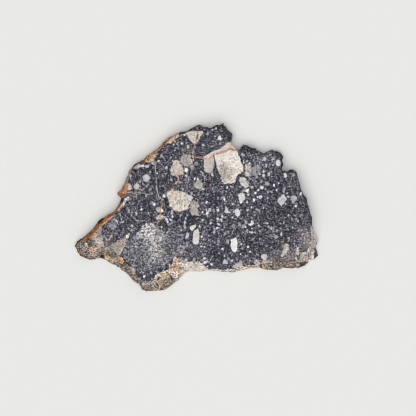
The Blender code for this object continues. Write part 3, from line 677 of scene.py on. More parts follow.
# Pieces of the weathered crust, and the crumbs and holes in it; the holes, the shadow under one block and
# the steep upper-left flank are painted shade
CHIPS = (
    Clast(Tint.AMBER, 0.8, (
        (-12.0, 10.1), (-11.6, 10.8), (-11.1, 11.5), (-10.3, 12.2), (-9.3, 12.6), (-9.1, 12.1),
        (-9.9, 11.3), (-10.6, 10.7), (-11.0, 10.0),
    )),
    Clast(Tint.TAN, 0.4, (
        (-10.9, 10.0), (-10.5, 10.8), (-9.9, 11.4), (-9.3, 12.1), (-9.0, 11.9), (-9.2, 11.1), (-9.6, 10.3),
        (-10.3, 10.1),
    )),
    Clast(Tint.RUSSET, 0.9, (
        (-9.3, 12.6), (-8.8, 13.5), (-8.0, 14.2), (-7.1, 14.7), (-6.9, 14.4), (-7.7, 13.6), (-8.4, 12.9),
        (-9.0, 12.4),
    )),
    Clast(Tint.AMBER, 0.9, (
        (-7.0, 14.8), (-6.7, 15.5), (-5.6, 16.2), (-4.4, 16.8), (-4.0, 17.1), (-4.2, 16.7), (-5.3, 15.9),
        (-6.2, 15.3), (-6.7, 14.6),
    )),
    Clast(Tint.PEACH, 0.3, (
        (-6.6, 14.5), (-6.1, 15.2), (-5.2, 15.9), (-4.0, 16.8), (-3.8, 16.1), (-4.6, 15.4), (-5.2, 14.9),
        (-5.7, 14.4), (-6.3, 14.4),
    )),
    Clast(Tint.UMBER, 0.3, (
        (-14.7, 8.9), (-13.8, 9.9), (-12.8, 10.4), (-11.5, 10.6), (-11.5, 10.2), (-12.8, 9.9),
        (-13.6, 9.4), (-14.3, 8.7),
    )),
    Clast(Tint.TAUPE, 0.5, (
        (-16.7, 5.3), (-16.2, 6.4), (-15.5, 7.6), (-14.8, 8.8), (-14.6, 8.2), (-15.0, 7.3), (-15.2, 6.2),
        (-15.5, 5.2),
    )),
    Clast(Tint.RUSSET, 0.4, (
        (-17.3, 3.6), (-17.0, 4.7), (-16.4, 5.4), (-15.4, 5.3), (-15.3, 4.4), (-15.4, 3.7), (-15.9, 2.9),
        (-16.8, 2.9),
    )),
    Clast(Tint.BARK, 0.9, (
        (-17.0, 2.7), (-16.2, 2.7), (-16.2, 1.9), (-16.4, 1.1), (-16.8, 0.9), (-17.1, 0.5), (-17.1, 1.7),
    )),
    Clast(Tint.CLAY, 0.5, ((-16.8, 2.6), (-16.3, 2.7), (-16.4, 2.1), (-16.7, 2.0))),
    Clast(Tint.LINEN, 0.4, (
        (-15.9, 2.0), (-15.1, 2.5), (-15.0, 2.1), (-15.8, 1.3), (-16.1, 0.5), (-16.5, 0.0), (-17.0, 0.1),
        (-16.4, 0.9),
    )),
    Clast(Tint.OCHRE, 0.6, (
        (-17.2, 0.9), (-16.8, 0.4), (-17.4, -0.4), (-17.9, -1.0), (-18.7, -1.8), (-19.5, -2.7),
        (-20.4, -3.4), (-21.3, -4.1), (-21.9, -5.0), (-22.4, -5.6), (-23.1, -6.3), (-23.9, -6.5),
        (-23.7, -5.3), (-23.2, -4.3), (-22.2, -2.9), (-20.8, -1.9), (-19.5, -1.3), (-18.4, -0.4),
    )),
    Clast(Tint.CLAY, 0.4, (
        (-18.8, -1.7), (-18.4, -1.8), (-19.7, -3.1), (-20.8, -3.9), (-21.6, -4.7), (-22.2, -5.6),
        (-22.5, -5.5), (-21.7, -4.5), (-20.7, -3.4),
    )),
    Clast(Tint.TAN, 0.2, (
        (-16.8, 0.7), (-16.4, 0.3), (-17.1, -0.4), (-17.7, -1.0), (-18.0, -0.8), (-17.4, -0.1),
    )),
    # Painted shade: the black strip on the steep flank at the upper left
    Clast(Tint.INK, 0.2, (
        (-22.5, -3.4), (-22.2, -2.5), (-21.4, -2.3), (-20.8, -1.9), (-20.7, -2.6), (-21.3, -3.2),
        (-22.0, -3.8),
    )),
    Clast(Tint.UMBER, 0.7, (
        (-23.4, -4.3), (-22.7, -3.5), (-22.3, -3.4), (-22.5, -4.2), (-23.2, -5.1), (-23.6, -5.2),
    )),
    Clast(Tint.TAN, 0.4, ((-23.5, -6.4), (-22.5, -5.7), (-22.3, -6.4), (-22.6, -7.2), (-23.4, -7.3))),
    Clast(Tint.OCHRE, 0.8, (
        (-25.7, -7.2), (-25.3, -6.2), (-24.1, -5.6), (-23.4, -6.1), (-23.7, -6.9), (-24.5, -7.6),
        (-25.2, -7.9),
    )),
    Clast(Tint.INK, 0.2, ((-24.6, -7.3), (-24.2, -6.7), (-23.9, -6.9), (-24.3, -7.6))),
    Clast(Tint.INK, 0.2, ((-25.7, -6.9), (-25.3, -7.0), (-25.4, -7.5), (-25.7, -7.3))),
    Clast(Tint.IRON, 0.5, ((-24.4, -7.7), (-23.6, -7.6), (-23.3, -8.3), (-23.5, -8.8), (-24.2, -8.6))),
    Clast(Tint.BONE, 0.1, ((-24.9, -8.0), (-24.5, -8.2), (-24.3, -8.8), (-24.6, -8.9))),
    Clast(Tint.PEACH, 0.5, (
        (-24.0, -9.1), (-23.2, -8.7), (-22.4, -8.9), (-22.5, -9.8), (-23.1, -10.4), (-23.6, -10.0),
    )),
    Clast(Tint.BARK, 0.3, (
        (-23.4, -8.6), (-22.9, -8.9), (-22.5, -8.3), (-22.4, -8.6), (-23.0, -9.1), (-23.4, -9.0),
    )),
    Clast(Tint.UMBER, 0.6, (
        (-27.8, -8.3), (-27.1, -7.4), (-26.1, -7.0), (-25.7, -6.8), (-25.7, -7.3), (-26.4, -7.8),
        (-27.0, -8.3), (-27.0, -8.9), (-26.6, -9.9), (-26.0, -10.7), (-25.2, -11.3), (-24.3, -11.6),
        (-24.3, -12.1), (-25.3, -11.8), (-26.4, -11.2), (-27.1, -9.8), (-27.4, -8.8),
    )),
    Clast(Tint.INK, 0.4, (
        (-21.7, -10.9), (-21.4, -10.6), (-20.9, -10.7), (-20.8, -11.2), (-21.0, -11.7), (-21.7, -11.6),
    )),
    Clast(Tint.OLIVE, 0.4, (
        (-20.6, -11.2), (-20.0, -10.9), (-19.5, -11.3), (-19.5, -11.9), (-20.1, -12.1), (-20.6, -11.7),
    )),
    Clast(Tint.UMBER, 0.3, (
        (-20.1, -10.0), (-19.8, -10.0), (-19.2, -10.7), (-18.6, -11.0), (-17.8, -11.1), (-17.8, -11.3),
        (-18.7, -11.2), (-19.4, -11.0),
    )),
    Clast(Tint.AMBER, 0.5, (
        (-17.4, -11.0), (-17.0, -11.2), (-16.5, -11.3), (-16.4, -12.1), (-16.9, -12.3), (-17.2, -11.8),
        (-17.5, -11.4),
    )),
    Clast(Tint.DOVE, 0.2, (
        (-15.0, -13.4), (-14.5, -13.4), (-13.8, -13.9), (-13.7, -14.7), (-14.2, -14.8), (-14.7, -14.3),
        (-15.0, -13.8),
    )),
    Clast(Tint.TAN, 0.4, (
        (-9.2, -16.1), (-9.0, -15.3), (-8.1, -14.9), (-7.1, -15.0), (-6.4, -15.2), (-6.3, -16.1),
        (-6.8, -16.8), (-7.4, -17.3), (-8.0, -17.6), (-8.6, -17.1),
    )),
    Clast(Tint.CREAM, 0.2, (
        (-9.3, -16.1), (-9.2, -15.3), (-8.6, -14.9), (-7.8, -15.0), (-8.2, -15.5), (-8.7, -15.7),
        (-8.9, -16.2),
    )),
    # Painted shade: a hole in the tan block
    Clast(Tint.BARK, 0.0, ((-8.8, -16.1), (-8.4, -15.7), (-8.0, -15.7), (-8.3, -16.3), (-8.7, -16.4))),
    # Painted shadow under the tan block
    Clast(Tint.BARK, 0.2, ((-9.0, -17.0), (-8.5, -17.2), (-8.2, -17.7), (-8.7, -17.8), (-9.0, -17.5))),
    Clast(Tint.IRON, 0.3, ((-5.8, -15.3), (-5.4, -15.5), (-5.0, -16.4), (-5.5, -16.7), (-5.8, -16.0))),
    Clast(Tint.TAN, 0.2, ((-10.0, -18.6), (-9.2, -18.2), (-8.0, -18.3), (-8.6, -18.8), (-9.5, -18.9))),
    Clast(Tint.BARK, 0.4, (
        (-12.7, -18.0), (-11.9, -18.5), (-10.8, -18.8), (-10.0, -18.7), (-10.0, -19.1), (-11.0, -19.3),
        (-12.2, -18.9), (-12.9, -18.2),
    )),
    Clast(Tint.BARK, 0.4, ((-8.1, -18.1), (-7.2, -18.5), (-6.6, -18.6), (-7.4, -19.1), (-8.0, -19.1))),
    Clast(Tint.PEACH, 0.6, ((-6.3, -14.2), (-6.0, -13.2), (-5.3, -13.2), (-5.2, -14.0), (-5.7, -14.5))),
    Clast(Tint.AMBER, 0.3, ((-4.2, -14.4), (-3.3, -14.4), (-3.6, -14.9), (-4.0, -14.9))),
    Clast(Tint.PEACH, 0.4, ((-4.0, -13.2), (-3.5, -13.1), (-3.6, -13.8), (-3.9, -14.1), (-4.1, -13.6))),
    Clast(Tint.SNOW, 0.0, ((-6.2, -12.9), (-5.8, -12.9), (-5.8, -13.3), (-6.1, -13.3))),
    Clast(Tint.BONE, 0.3, ((-5.2, -12.1), (-4.9, -11.0), (-4.5, -11.1), (-4.6, -11.9), (-5.0, -12.6))),
    Clast(Tint.INK, 0.0, ((-4.6, -11.7), (-4.2, -11.5), (-4.3, -11.9), (-4.5, -12.0))),
    Clast(Tint.SNOW, 0.1, (
        (0.6, -12.2), (1.4, -12.5), (1.8, -13.0), (2.2, -13.8), (1.9, -13.9), (1.4, -13.0), (0.7, -12.6),
    )),
    Clast(Tint.TAUPE, 0.6, ((-0.8, -12.2), (-0.6, -11.4), (-0.2, -11.4), (-0.1, -12.2), (-0.4, -12.7))),
    Clast(Tint.BARK, 0.3, (
        (5.5, -14.3), (6.8, -14.4), (7.9, -14.4), (7.9, -14.8), (6.5, -14.8), (5.5, -14.6),
    )),
    Clast(Tint.BARK, 0.0, ((7.9, -13.7), (8.6, -13.6), (8.5, -13.9), (7.9, -14.0))),
    Clast(Tint.TAN, 0.7, (
        (10.9, -13.9), (11.5, -13.1), (12.2, -13.0), (13.3, -13.1), (14.4, -13.5), (14.3, -13.9),
        (13.1, -13.8), (11.7, -13.9),
    )),
    Clast(Tint.DOVE, 0.5, (
        (2.2, -13.7), (3.1, -13.8), (4.0, -13.8), (5.2, -13.9), (5.4, -14.3), (4.0, -14.4), (2.7, -14.4),
        (1.9, -14.2),
    )),
    Clast(Tint.STONE, 0.8, (
        (6.9, -13.8), (7.9, -13.9), (9.0, -13.8), (10.1, -13.5), (10.9, -13.3), (10.9, -13.8),
        (9.9, -14.3), (8.6, -14.4), (7.2, -14.3),
    )),
    Clast(Tint.BARK, 0.4, (
        (14.4, -12.8), (14.8, -12.9), (15.0, -13.7), (15.3, -14.2), (14.8, -14.3), (14.5, -13.5),
    )),
    Clast(Tint.PUTTY, 0.45, (
        (23.4, -11.0), (23.6, -10.4), (24.3, -10.1), (25.0, -10.3), (25.2, -10.9), (25.2, -11.6),
        (24.8, -12.1), (24.1, -12.2), (23.5, -11.8),
    )),
    Clast(Tint.IVORY, 0.3, (
        (25.6, -10.2), (26.1, -10.0), (26.5, -10.6), (26.4, -11.3), (26.0, -11.7), (25.6, -11.4),
    )),
    Clast(Tint.IRON, 0.9, (
        (26.6, -9.8), (27.0, -9.9), (27.6, -10.5), (27.4, -11.3), (26.9, -11.8), (26.2, -11.9),
        (26.6, -11.3), (26.6, -10.5),
    )),
    Clast(Tint.DUST, 0.4, ((25.2, -10.0), (25.5, -10.0), (25.5, -11.2), (25.4, -11.9), (25.1, -11.8))),
    Clast(Tint.IRON, 0.9, (
        (23.3, -12.1), (24.1, -12.4), (25.1, -12.1), (24.9, -12.8), (24.1, -13.5), (23.3, -13.5),
    )),
    Clast(Tint.BARK, 0.4, ((20.0, -13.5), (24.1, -13.5), (24.1, -13.9), (20.0, -13.9))),
    Clast(Tint.BARK, 0.0, ((24.1, -11.1), (24.3, -11.1), (24.3, -11.3), (24.1, -11.3))),
    Clast(Tint.INK, 0.0, ((22.6, -10.8), (22.9, -10.8), (22.9, -11.2), (22.7, -11.2))),
    Clast(Tint.SNOW, 0.0, ((23.7, -5.1), (23.9, -5.1), (23.9, -5.3), (23.7, -5.3))),
)

# Soft changes of colour inside the clasts and the older fragment, each as the values of a Patch
SHADES = (
    (Tint.DRIFT, 0.65, -11.7, -4.6, 0.8), (Tint.DRIFT, 0.6, -10.1, -4.9, 0.9),
    (Tint.TAUPE, 0.4, -9.0, -4.9, 0.6), (Tint.DRIFT, 0.7, -9.7, -6.4, 0.8),
    (Tint.DRIFT, 0.65, -10.1, -8.0, 0.7), (Tint.DRIFT, 0.75, -9.5, -9.4, 0.8),
    (Tint.DRIFT, 0.8, -8.3, -10.3, 0.8), (Tint.TAUPE, 0.4, -8.8, -7.3, 0.9),
    (Tint.DRIFT, 0.4, -7.7, -8.9, 0.8), (Tint.DRIFT, 0.5, -12.2, -6.2, 1.1),
    (Tint.PEWTER, 0.6, -13.3, -7.6, 0.9), (Tint.GRAPHITE, 0.5, -14.2, -9.6, 1.4),
    (Tint.GRAPHITE, 0.5, -13.1, -10.9, 1.4), (Tint.WHITE, 0.35, -10.8, -4.1, 0.4),
    (Tint.DRIFT, 0.4, -11.0, -6.0, 0.7), (Tint.DRIFT, 0.35, -9.9, -11.4, 0.9),
    (Tint.GRAPHITE, 0.8, -5.4, -7.3, 1.4), (Tint.GRAPHITE, 0.8, -6.8, -9.1, 0.9),
    (Tint.GRAPHITE, 0.5, -3.6, -8.5, 1.1), (Tint.ASH, 0.4, -2.9, -9.6, 0.9),
    (Tint.GRAPHITE, 0.35, -12.6, -12.3, 1.4), (Tint.GRAPHITE, 0.35, -11.2, -10.0, 0.7),
    (Tint.DRIFT, 0.35, -7.7, -6.9, 0.7), (Tint.PEWTER, 0.5, -7.2, -11.8, 1.1),
    (Tint.TAUPE, 0.55, 6.3, 7.1, 1.0), (Tint.BONE, 0.5, 9.5, 8.2, 0.9), (Tint.TAUPE, 0.4, 6.1, 8.6, 0.8),
    (Tint.TAUPE, 0.3, 5.9, 9.3, 0.5), (Tint.SHELL, 0.5, -3.8, 8.9, 0.6), (Tint.SAGE, 0.5, -5.2, 8.4, 0.7),
    (Tint.TAUPE, 0.4, -4.5, 7.3, 0.5), (Tint.ASH, 0.6, -0.5, 1.1, 0.7), (Tint.DOVE, 0.6, -18.2, -8.2, 0.7),
    (Tint.TAUPE, 0.6, -18.3, -9.4, 0.9), (Tint.DOVE, 0.6, -17.8, -10.0, 0.9),
    (Tint.SAGE, 0.35, -5.9, 2.6, 0.7), (Tint.BONE, 0.4, -3.4, 2.1, 1.1),
    (Tint.SHELL, 0.5, -8.0, -2.2, 0.3), (Tint.SAGE, 0.4, 19.4, 1.6, 0.5),
)

# Stains of the sawn face, all close to the weathered rim, each as the values of a Patch
STAINS = {
    Tint.TAN: (
        (0.55, -22.7, -9.1, 1.4, 0.5), (0.55, -20.0, -10.0, 1.4, 0.5), (0.5, -18.7, -11.4, 0.9, 0.5),
    ),
    Tint.STONE: (
        (0.6, -21.4, -8.7, 1.4, 0.5), (0.65, -21.8, -7.8, 1.1, 0.3), (0.4, 25.4, -8.0, 1.4, 0.8),
    ),
    Tint.TAUPE: (
        (0.55, 21.2, -11.8, 1.6, 0.6), (0.45, 22.3, -10.3, 1.1, 0.6), (0.4, 24.1, -12.7, 0.9, 0.5),
        (0.35, 24.8, -6.4, 1.6, 0.9), (0.5, 17.1, -12.5, 1.6, 0.7), (0.4, -1.8, 12.6, 0.6, 0.6),
        (0.4, -2.2, -12.3, 0.9, 0.6), (0.5, -4.0, -11.6, 0.9, 0.6),
    ),
    Tint.DUST: (
        (0.5, -14.8, 2.6, 0.6, 0.9), (0.4, -16.2, 2.3, 0.7, 0.6), (0.35, 19.4, -8.2, 0.7, 0.8),
    ),
    Tint.TAWNY: (
        (0.4, -5.4, 3.9, 0.5, 0.2),
    ),
    Tint.ASH: (
        (0.25, 0.0, -10.3, 1.4, 0.8),
    ),
}

# Colours of the rim, how far each length of it is weathered and how granular it is, as Patch values
RINDS = {
    Tint.UMBER: (
        (1.0, -27.4, -8.5, 0.7, 0.7), (1.0, -26.7, -10.1, 0.6, 0.8), (1.0, -24.5, -11.9, 0.6, 0.6),
        (1.0, -21.8, -2.6, 0.6, 0.8), (1.0, -11.2, -18.8, 0.7, 0.6),
    ),
    Tint.DUST: (
        (1.0, -26.3, -8.7, 0.9, 0.9), (1.0, -25.2, -10.0, 0.9, 0.9), (1.0, -22.9, -11.4, 0.7, 0.7),
        (1.0, -17.3, 1.4, 0.7, 0.8), (0.7, -14.4, 9.1, 0.9, 0.6), (0.9, -12.8, 10.3, 0.7, 0.5),
        (1.0, 25.2, -12.5, 0.7, 0.9), (1.0, 22.5, -13.0, 1.1, 1.0), (1.0, 19.8, -13.2, 1.1, 0.9),
        (0.9, 18.2, -13.7, 0.7, 0.8), (1.0, -6.3, -17.9, 0.9, 0.7), (1.0, -7.4, -18.6, 0.7, 0.7),
        (1.0, -12.8, -17.7, 0.9, 0.8), (1.0, -14.2, -16.6, 1.1, 0.85), (1.0, -14.6, -14.8, 0.9, 0.8),
        (1.0, -15.8, -15.4, 0.9, 0.85), (1.0, -16.2, -13.6, 0.9, 0.85), (1.0, -17.6, -13.9, 0.9, 0.85),
        (1.0, -18.9, -12.7, 0.7, 0.6),
    ),
    Tint.TAUPE: (
        (1.0, -25.2, -8.7, 0.9, 0.9), (1.0, -23.9, -10.7, 0.9, 1.0), (1.0, 16.4, -13.6, 0.9, 1.0),
        (1.0, -5.2, -16.8, 1.1, 0.9), (1.0, -9.5, -17.7, 1.1, 0.85), (1.0, -11.0, -17.2, 1.1, 0.8),
        (1.0, -12.4, -16.1, 0.9, 0.8),
    ),
    Tint.OCHRE: (
        (1.0, -24.8, -6.7, 0.7, 0.9), (1.0, -23.4, -5.1, 1.1, 0.9), (1.0, -20.2, -1.7, 0.9, 0.8),
        (1.0, -18.2, -0.1, 0.9, 0.7), (1.0, -17.8, 2.9, 0.7, 0.3), (1.0, -11.2, 11.3, 0.9, 0.5),
        (1.0, -9.9, 12.5, 0.9, 0.7), (1.0, -6.3, 15.8, 0.9, 0.6),
    ),
    Tint.RUSSET: (
        (1.0, -16.9, 4.6, 0.9, 0.3), (1.0, -8.1, 14.0, 1.1, 0.7),
    ),
    Tint.PUTTY: (
        (0.7, -15.8, 6.8, 1.1, 0.7),
    ),
    Tint.TAWNY: (
        (1.0, -4.5, 16.7, 0.7, 0.5),
    ),
    Tint.COAL: (
        (0.0, -2.7, 17.2, 1.1, 0.5), (0.0, -0.2, 18.1, 1.1, 0.5), (0.0, 2.2, 18.3, 0.9, 0.5),
        (0.0, 4.0, 18.1, 1.1, 0.5), (0.0, 6.8, 17.4, 1.4, 0.5), (0.0, 11.5, 13.4, 1.4, 0.5),
        (0.0, 13.7, 12.7, 1.4, 0.5), (0.0, 18.7, 11.3, 1.4, 0.5), (0.0, 19.8, 8.2, 1.1, 0.5),
        (0.0, 22.7, 7.3, 1.4, 0.5), (0.0, 23.9, 3.5, 1.4, 0.5), (0.0, 25.2, 0.1, 1.4, 0.5),
        (0.0, 25.9, -2.8, 0.9, 0.5),
    ),
    Tint.CLAY: (
        (0.8, 0.8, 18.4, 0.5, 0.4),
    ),
    Tint.CREAM: (
        (1.0, 8.8, 13.8, 0.9, 0.3), (1.0, 25.9, -10.8, 0.7, 0.4),
    ),
    Tint.ASH: (
        (0.3, 16.2, 12.2, 1.1, 0.5),
    ),
    Tint.LINEN: (
        (0.9, 26.6, -5.8, 1.1, 0.4), (1.0, 27.1, -7.3, 0.9, 0.45), (1.0, 26.7, -8.9, 0.9, 0.4),
        (0.9, 9.9, -13.9, 0.9, 0.7), (0.9, 8.3, -14.3, 0.7, 0.7),
    ),
    Tint.IRON: (
        (1.0, 27.2, -10.5, 0.9, 0.9),
    ),
    Tint.STONE: (
        (1.0, 24.3, -11.2, 0.9, 0.5), (0.9, 6.5, -14.3, 0.9, 0.9), (0.9, 4.0, -14.2, 0.9, 0.9),
        (1.0, -2.7, -13.4, 0.9, 0.7),
    ),
    Tint.TAN: (
        (0.9, 14.8, -13.4, 0.7, 0.8), (1.0, -3.6, -15.2, 0.7, 0.8), (1.0, -7.9, -16.1, 1.1, 0.7),
        (1.0, -18.0, -12.3, 0.9, 0.6), (1.0, -19.6, -11.6, 0.9, 0.6),
    ),
    Tint.FAWN: (
        (0.9, 12.6, -13.4, 0.9, 0.8),
    ),
    Tint.IVORY: (
        (1.0, 2.0, -14.1, 0.9, 0.3),
    ),
    Tint.SHELL: (
        (1.0, 0.2, -13.2, 1.1, 0.04), (1.0, -1.4, -13.6, 0.9, 0.1), (1.0, -4.7, -14.8, 0.9, 0.65),
    ),
    Tint.PEACH: (
        (1.0, -4.5, -13.0, 0.9, 0.65),
    ),
    Tint.BARK: (
        (1.0, -21.4, -11.2, 0.6, 0.4),
    ),
}

# Parts of the ground that are paler or hold more flecks than the rest, each as the values of a Zone
ZONES = (
    (0.0, 0.5, 0.0, 5.9, -3.3, 5.0), (0.03, 0.8, 0.0, 9.5, 3.5, 5.0), (-0.05, -0.35, 0.0, -9.0, 4.1, 5.0),
    (-0.08, -0.6, 0.0, 18.9, -3.3, 5.9), (0.05, -0.3, 0.0, -4.0, 5.5, 3.1),
    (0.0, 0.25, 0.0, 9.9, -9.6, 5.0), (0.3, 0.5, 0.0, 24.8, -6.4, 2.0), (0.25, 0.1, 0.0, -19.1, -5.1, 3.1),
    (0.3, 0.4, 0.0, 13.1, 10.2, 2.7), (0.8, 0.7, 0.0, 16.2, 11.1, 2.0), (0.4, 0.3, 0.0, 14.4, 11.6, 1.4),
    (-0.1, -0.5, 0.0, 22.1, 0.5, 2.7), (0.0, 0.0, 0.65, 6.5, 7.7, 1.6), (0.0, 0.0, 0.25, 5.9, 9.5, 1.1),
    (0.0, 0.0, 0.25, -3.6, 1.7, 1.6), (0.3, 0.3, 0.0, 21.2, -10.5, 2.2), (0.12, 0.3, 0.0, -7.4, 12.0, 2.2),
    (-0.25, -0.5, 0.0, 11.5, 13.4, 2.0), (-0.2, -0.4, 0.0, 7.2, 17.2, 1.6),
    (-0.2, -0.2, 0.0, -2.5, -2.2, 1.6), (-0.2, -0.2, 0.0, -0.7, -2.8, 1.4),
    (0.3, 0.4, 0.0, -2.7, -9.6, 1.6), (-0.1, -0.3, 0.0, -10.3, -15.2, 2.0),
    (-0.15, -0.4, 0.0, 4.3, -10.0, 2.0), (0.1, 0.3, 0.0, 0.0, -10.0, 1.4),
    (-0.2, -0.3, 0.0, -13.7, 7.7, 1.6), (-0.25, -0.4, 0.0, -16.7, -7.6, 1.6),
    (-0.1, -0.3, 0.0, 12.2, 0.5, 2.0),
)

# Small holes
PITS = (
    Pit(13.7, 8.0, 3.2, 0.3, 0.22),
    Pit(-8.4, -16.0, 2.2, 0.35, 0.3),
)


def patches(rows: dict[Tint, Rows]) -> list[Patch]:
    """Lay out the patches of a table that is sorted by colour."""
    return [Patch(tint, *row) for tint, some in rows.items() for row in some]


def away_from_line(points: np.ndarray, line: np.ndarray) -> np.ndarray:
    """Measure how far points are from a line through several points.

    Args:
        points: an array of X, Y rows.
        line: an array of X, Y points along the line.

    Returns:
        The distance from each point to the line.
    """
    nearest = np.full(len(points), np.inf)
    for start, end in zip(line, line[1:]):
        leg = end - start
        offset = points - start
        share = np.clip(offset @ leg / max(leg @ leg, TINY), 0.0, 1.0)
        nearest = np.minimum(nearest, np.linalg.norm(offset - share[:, None] * leg, axis=1))
    return nearest


def depth_inside(points: np.ndarray, outline: np.ndarray) -> np.ndarray:
    """Measure how deep points lie inside a closed outline.

    Args:
        points: an array of X, Y rows.
        outline: an array of X, Y corners.

    Returns:
        The distance from each point to the outline, negative outside it.
    """
    inside = np.zeros(len(points), dtype=bool)
    closed = np.vstack([outline, outline[:1]])
    for start, end in zip(closed, closed[1:]):
        leg = end - start
        offset = points - start
        straddles = (start[1] > points[:, 1]) != (end[1] > points[:, 1])
        inside ^= straddles & (offset[:, 0] < leg[0] * offset[:, 1] / (leg[1] or TINY))
    nearest = away_from_line(points, closed)
    return np.where(inside, nearest, -nearest)


def bell(place: np.ndarray, x: float, y: float, radius: float) -> np.ndarray:
    """Give a bell-shaped fall-off in plan, 1 at its middle and a half at its radius."""
    distance = np.hypot(place[:, 0] - x, place[:, 1] - y)
    return np.exp(-math.log(2.0) * (distance / radius) ** 2)


@dataclass
class Layer:
    """The deepest-lying feature of one kind at every point of the stone.

    Attributes:
        depth: how deep each point lies inside its nearest feature, negative outside.
        tint: the linear colour of that feature.
        grain: how much darker grain that feature shows.
    """

    depth: np.ndarray
    tint: np.ndarray
    grain: np.ndarray

    @classmethod
    def empty(cls, count: int) -> Layer:
        """Start a layer of count points, all outside any feature."""
        return cls(np.full(count, -FAR), np.tile(Tint.ASH.linear(), (count, 1)), np.zeros(count))

    def lay(self, chosen: np.ndarray, depth: np.ndarray, tint: Tint, grain: float = 0.0) -> None:
        """Lay a feature over the points that are inside it or nearer to it than to any before.

        Args:
            chosen: the places of the points that were measured.
            depth: how deep each of them lies in the feature.
            tint: the feature's colour.
            grain: how much darker grain it shows.
        """
        better = (depth > self.depth[chosen]) | (depth > 0.0)
        won = chosen[better]
        self.depth[won] = depth[better]
        self.tint[won] = tint.linear()
        self.grain[won] = grain

    def shade(self, place: np.ndarray, patches: list[Patch]) -> None:
        """Change the colours softly by patches.

        Args:
            place: every point of the stone.
            patches: the patches.
        """
        for patch in patches:
            share = patch.strength * bell(place, patch.x, patch.y, patch.radius)[:, None]
            self.tint += share * (patch.tint.linear() - self.tint)


@dataclass(frozen=True)
class Cloud:
    """An uneven pattern, soft or torn.

    Attributes:
        size: the size of its features, mm.
        detail: how many times its finest features halve that size.
    """

    size: float
    detail: float

    def over(self, place: Socket) -> tuple[Socket, float, float]:
        """Give what feeds its noise node, over the given points."""
        return (place, per_mm(self.size), self.detail)


@dataclass(frozen=True)
class Grains:
    """One size of the crushed grains that make up the ground, each with a tone of its own.

    Attributes:
        size: the usual distance between two of them, mm.
        dark: the tone of the darkest, as a share of the ground's.
        pale: the tone of the palest.
        rarity: the power that makes pale ones rarer than dark ones.
    """

    size: float
    dark: float
    pale: float
    rarity: float


@dataclass(frozen=True)
class Flecks:
    """One size of the pale fragments that are strewn through the ground.

    Attributes:
        size: the usual distance between two of them, mm.
        share: the share of them that is there at all.
        reach: how much of its own cell each fills, 0 to 1.
        low: the darkest of their colours.
        high: the palest of their colours.
        strength: how clearly they stand out.
    """

    size: float
    share: float
    reach: float
    low: str
    high: str
    strength: float


